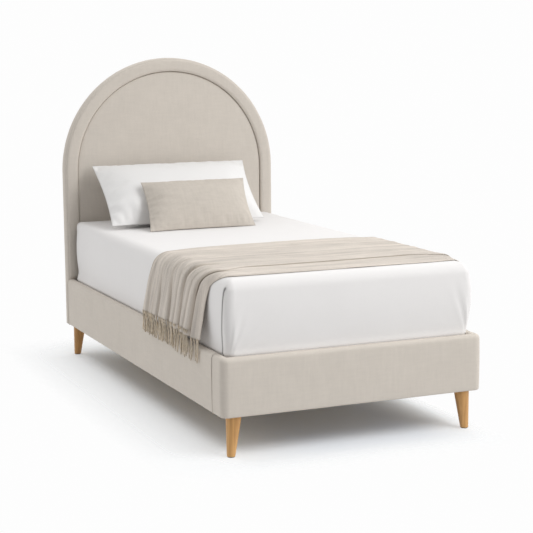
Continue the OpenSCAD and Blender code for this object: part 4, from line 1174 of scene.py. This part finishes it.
def fill(piece, stretch):
    """Fills the case by cloth simulation: its seam stays, and no point moves further than MOST_MOVED."""
    start = places_of(piece)
    modifier = piece.modifiers.new("filling", "CLOTH")
    cloth = modifier.settings
    cloth.quality, cloth.mass = 6, 0.25
    cloth.tension_stiffness = cloth.compression_stiffness = 14
    cloth.shear_stiffness, cloth.bending_stiffness = 5, 0.35
    cloth.use_pressure, cloth.uniform_pressure_force = True, PRESSURE
    cloth.shrink_min = -stretch
    cloth.vertex_group_mass, cloth.pin_stiffness = "seam", 1.0
    cloth.effector_weights.gravity = 0
    modifier.point_cache.frame_start, modifier.point_cache.frame_end = 1, FRAMES
    for step in range(1, FRAMES + 1):
        scene.frame_set(step)
    filled = piece.evaluated_get(bpy.context.evaluated_depsgraph_get())
    moved = places_of(filled) - start
    piece.modifiers.remove(modifier)
    scene.frame_set(1)
    far = np.linalg.norm(moved, axis=1, keepdims=True)
    move_points(piece, start + moved * np.minimum(1.0, MOST_MOVED / np.maximum(far, 1e-9)))


def gather(piece, filling, spots):
    """Draws small folds in from the seam at some spots of the front face."""
    points = places_of(piece)
    u, v, lift = filling.read(points)
    width, height = filling.width / 2, filling.height / 2
    # For each edge, how far in from it the points lie and where they lie along it
    edges = {"left": ((1 + u) * width, v, height), "right": ((1 - u) * width, v, height),
             "top": ((1 - v) * height, u, width), "bottom": ((1 + v) * height, u, width)}
    total = np.zeros(len(points))
    for edge, place, spread, length, pitch, depth in spots:
        inward, along, half = edges[edge]
        run = (along - place) * half / (1 + inward / length * 0.8)
        wave = np.cos(run * 2 * math.pi / pitch + 4 * inward / length) * np.exp(-(run / spread) ** 2)
        t = inward / (length * 0.35)
        total += depth * wave * t * np.exp(1 - t)
    front = smooth_step(lift / 0.01)
    move_points(piece, points + normals_of(piece) * (total * front)[:, None])


def depth_into(piece, filling):
    """A measure of how deep points lie behind the front face of a filled case, along its own lean."""
    columns, rows = 90, 60
    u, v, lift = filling.read(places_of(piece))
    front = lift > -1e-4
    a = np.clip(((u[front] + 1) / 2 * (columns - 1)).round().astype(int), 0, columns - 1)
    b = np.clip(((v[front] + 1) / 2 * (rows - 1)).round().astype(int), 0, rows - 1)
    grid = np.full((columns, rows), -1.0)
    np.maximum.at(grid, (a, b), lift[front])
    # A cell without a point takes the height of its highest neighbour
    for _ in range(6):
        beside = [np.roll(grid, step, axis) for step in (1, -1) for axis in (0, 1)]
        grid = np.where(grid < -0.5, np.max(beside, axis=0), grid)

    def measure(points):
        u, v, here = filling.read(points)
        inside = (np.abs(u) < 1) & (np.abs(v) < 1)
        a = np.clip((u + 1) / 2 * (columns - 1), 0, columns - 1.001)
        b = np.clip((v + 1) / 2 * (rows - 1), 0, rows - 1.001)
        i, j = a.astype(int), b.astype(int)
        s, t = a - i, b - j
        low, high = (grid[i, k] * (1 - s) + grid[i + 1, k] * s for k in (j, j + 1))
        return np.where(inside, low * (1 - t) + high * t - here, -1.0)

    return measure


def settle(piece, clearance, behind=None, depth=None):
    """Keeps a filled case above the mattress, in front of the headboard and of a pillow behind it."""
    points = places_of(piece)
    if behind:
        points += np.maximum(depth(points) + clearance, 0)[:, None] * behind.out
    points[:, 1] = np.minimum(points[:, 1], Y_HEAD - 0.001)
    points[:, 2] = np.maximum(points[:, 2], crown(points[:, 0], points[:, 1]) + clearance)
    move_points(piece, points)


def round_off(piece):
    """Gives a filled case a finer surface."""
    smooth = piece.modifiers.new("fine_surface", "SUBSURF")
    smooth.levels = smooth.render_levels = 1


def pillow():
    """The pillow, leaning on the headboard."""
    piece = case("pillow_case", PILLOW, 74, 48, pillow_cotton)
    fill(piece, 0.012)
    gather(piece, PILLOW, PILLOW_GATHERS)
    settle(piece, 0.0007)
    round_off(piece)
    return ride_and_stand_in(piece, "pillow", "pillow_cotton", "pillow")


def cushion(behind):
    """The small cushion, leaning on the pillow."""
    piece = case("cushion_case", CUSHION, 60, 38, cushion_linen)
    fill(piece, 0.010)
    gather(piece, CUSHION, CUSHION_GATHERS)
    settle(piece, 0.0009, PILLOW, depth_into(behind, PILLOW))
    round_off(piece)
    return ride_and_stand_in(piece, "cushion", "cushion_linen", "cushion")


# Slat straps

SLATS = 12
# How far a strap lies from the middle, how deep it sags and half the length of the sag's lowest part
STRAP_X, SAG, SLACK = 0.250, 0.0021, 0.02
# The strap's section: across it, and up from the slat's underside
STRAP = ((-0.0125, -0.0004), (-0.0121, -0.0011), (0.0121, -0.0011),
         (0.0125, -0.0004), (0.0121, 0), (-0.0121, 0))


def slat_straps():
    """Two webbing straps stapled under the slats, hanging a little between them."""
    (low, high), last = box("slat_1"), box(f"slat_{SLATS}")[0]
    first, half = rounded((low[1] + high[1]) / 2), (high[1] - low[1]) / 2
    pitch = round((last[1] - low[1]) / (SLATS - 1), 6)
    places = []
    for i in range(SLATS):
        mid = first + i * pitch
        gap = mid + pitch / 2
        places += [(mid - half, 0.0), (mid, 0.0), (mid + half, 0.0)]
        if i < SLATS - 1:
            places += [(gap - SLACK, SAG - 0.0005), (gap, SAG), (gap + SLACK, SAG - 0.0005)]
    points, faces = [], []
    for x in (-STRAP_X, STRAP_X):
        strap = [(x + dx, y, LEDGER_TOP - 0.0001 - sag + dz) for y, sag in places for dx, dz in STRAP]
        add_part(points, faces, strap, tube_faces(len(places), len(STRAP)))
    piece = add_piece("slat_webbing", points, faces, strap_web, smooth=False)
    return ride_and_stand_in(piece, "frame", "webbing", "slat_straps")


# Light, floor and camera


def aim_camera():
    """Stands where the photograph was taken from."""
    data = bpy.data.cameras.new("camera")
    data.lens, data.sensor_width = 99.2, 36.0
    data.clip_start, data.clip_end = 0.1, 100.0
    camera = bpy.data.objects.new("camera", data)
    scene.collection.objects.link(camera)
    yaw, pitch, roll = map(math.radians, (23.2840, 8.6014, -0.4562))
    forward = Vector((math.sin(yaw) * math.cos(pitch), math.cos(yaw) * math.cos(pitch), -math.sin(pitch)))
    right = Vector((math.cos(yaw), -math.sin(yaw), 0))
    up = right.cross(forward)
    right, up = right * math.cos(roll) + up * math.sin(roll), up * math.cos(roll) - right * math.sin(roll)
    place = Matrix((right, up, -forward)).transposed().to_4x4()
    place.translation = (-2.34228, -5.62739, 1.438623)
    camera.matrix_world = place
    scene.camera = camera


def lay_floor():
    """A plain pale floor that fades into the white backdrop beyond the bed's own shadow, with painted shade
    darkening it under the bed.
    """
    f = Finish("pale_floor", 0.9, Specular_IOR_Level=0.0)
    x, y, _ = f.parts(f.place())
    left, near = x * -1.0, y * -1.0

    def ramp(value, start, end, rest=0.0, curve="SMOOTHSTEP"):
        """Falls from 1 to what is left as a value goes from start to end."""
        kind = {"interpolation_type": curve}
        return f.node("MapRange", kind, Value=value, s1=start, s2=end, s3=1.0, s4=rest)

    fade = ramp(left, 0.40, 0.52, 0.55) * ramp(left, 0.50, 0.80, curve="LINEAR") * ramp(x, 0.44, 0.56)
    fade = fade * ramp(near, 0.80, 1.00, 0.52) * ramp(near, 1.00, 1.25) * ramp(y, 0.95, 1.40)
    # Painted shade: under the bed the floor's colour turns darker and bluer, standing in for the shade that
    # falls there
    under = ramp(left, 0.10, 0.45) * ramp(x, 0.25, 0.46) * ramp(near, 0.95, 1.15) * ramp(y, 0.60, 0.95)
    pale = f.mix(f.cloud(40.0, 2.0), (0.893, 0.928, 0.955), (0.913, 0.948, 0.975))
    f.put(Base_Color=f.mix(under, pale, (0.675, 0.74, 0.84)), Alpha=fade)
    bpy.ops.mesh.primitive_circle_add(vertices=96, radius=3.0, fill_type="NGON")
    floor = bpy.context.object
    floor.name = "studio_floor"
    floor.data.materials.append(f.material)


def light_studio():
    """White surroundings and two large soft lamps from the front right, one high and one low."""
    world = bpy.data.worlds.new("studio")
    world.use_nodes = True
    tree = world.node_tree
    back = tree.nodes["Background"]
    seen, path, blend, direction, lean, even = (tree.nodes.new("ShaderNode" + kind) for kind in (
        "Background", "LightPath", "MixShader", "TexCoord", "VectorMath", "Math"))
    # The room grows brighter towards the back and the right
    lean.operation = "DOT_PRODUCT"
    lean.inputs[1].default_value = (0.15, 0.49, -0.01)
    even.inputs[1].default_value = 0.84
    back.inputs["Color"].default_value = (1.0, 0.998, 0.995, 1)
    seen.inputs["Color"].default_value = (0.985, 0.985, 0.985, 1)
    for output, socket in ((direction.outputs["Generated"], lean.inputs[0]),
                           (lean.outputs["Value"], even.inputs[0]),
                           (even.outputs[0], back.inputs["Strength"]),
                           (path.outputs["Is Camera Ray"], blend.inputs[0]),
                           (back.outputs[0], blend.inputs[1]),
                           (seen.outputs[0], blend.inputs[2]),
                           (blend.outputs[0], tree.nodes["World Output"].inputs["Surface"])):
        tree.links.new(output, socket)
    scene.world = world
    aim = Vector((0.0, 0.2, 0.4))
    for name, energy, place in (("key_lamp", 245, (4.3, -4.7, 7.4)), ("low_lamp", 231, (3.8, -7.9, 3.75))):
        lamp = bpy.data.lights.new(name, "AREA")
        lamp.shape, lamp.size, lamp.size_y, lamp.energy = "RECTANGLE", 4.8, 4.8, energy
        holder = bpy.data.objects.new(name, lamp)
        scene.collection.objects.link(holder)
        holder.location = place
        holder.rotation_euler = (aim - holder.location).to_track_quat("-Z", "Y").to_euler()
    scene.view_settings.view_transform = "Standard"
    scene.view_settings.look = "None"


aim_camera()
light_studio()
lay_floor()

headboard_panel()
headboard_border()
headboard_band()
headboard_back()
for side, word in ((-1, "left"), (1, "right")):
    rail_seat(side, f"rail_seat_{word}")
    side_cover(side, f"side_cover_{word}")
foot_cover()
mattress()
fitted_sheet()
lay_throw()
cushion(pillow())
slat_straps()

# Rigid pieces keep their CAD shape and get eased edges and their own finish, by how their names start.
# Screws also match the timber they hold, and the later entry gives them their own finish
finishes = {
    "headboard_core": (plywood, 0.0006),
    "headboard_stile": (post_pine, 0.0015),
    "headboard_arch_rib": (post_pine, 0.001),
    "headboard_lower_batten": (frame_pine, 0.0015),
    "headboard_upper_batten": (frame_pine, 0.0015),
    "foot_board": (frame_pine, 0.0012),
    "foot_return": (rail_pine, 0.0012),
    "side_board": (rail_pine, 0.0012),
    "ledger": (rail_pine, 0.002),
    "corner_block": (post_pine, 0.002),
    "slat_": (slat_pine, 0.002),
    "leg_front": (oak, 0.0012),
    "leg_back": (oak, 0.0012),
    "leg_plates": (bracket_zinc, 0.0005),
    "foot_brackets": (bracket_zinc, 0.0006),
    "head_brackets": (bracket_zinc, 0.0006),
    "bracket_bolts": (screw_zinc, 0.0005),
    "bracket_screws": (screw_zinc, 0.0004),
    "tee_nuts": (screw_zinc, 0.0003),
    "leg_bolts": (screw_zinc, 0.0004),
    "leg_glides": (glide_felt, 0.0008),
    "plate_screws": (screw_zinc, 0.0004),
    "slat_screws": (screw_zinc, 0.0004),
    "ledger_screws": (screw_zinc, 0.0004),
}
for name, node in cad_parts.items():
    for start, (finish, edge) in finishes.items():
        if name.startswith(start) and not node.hide_render:
            node.data.materials.clear()
            node.data.materials.append(finish)
            bevel(node, edge)
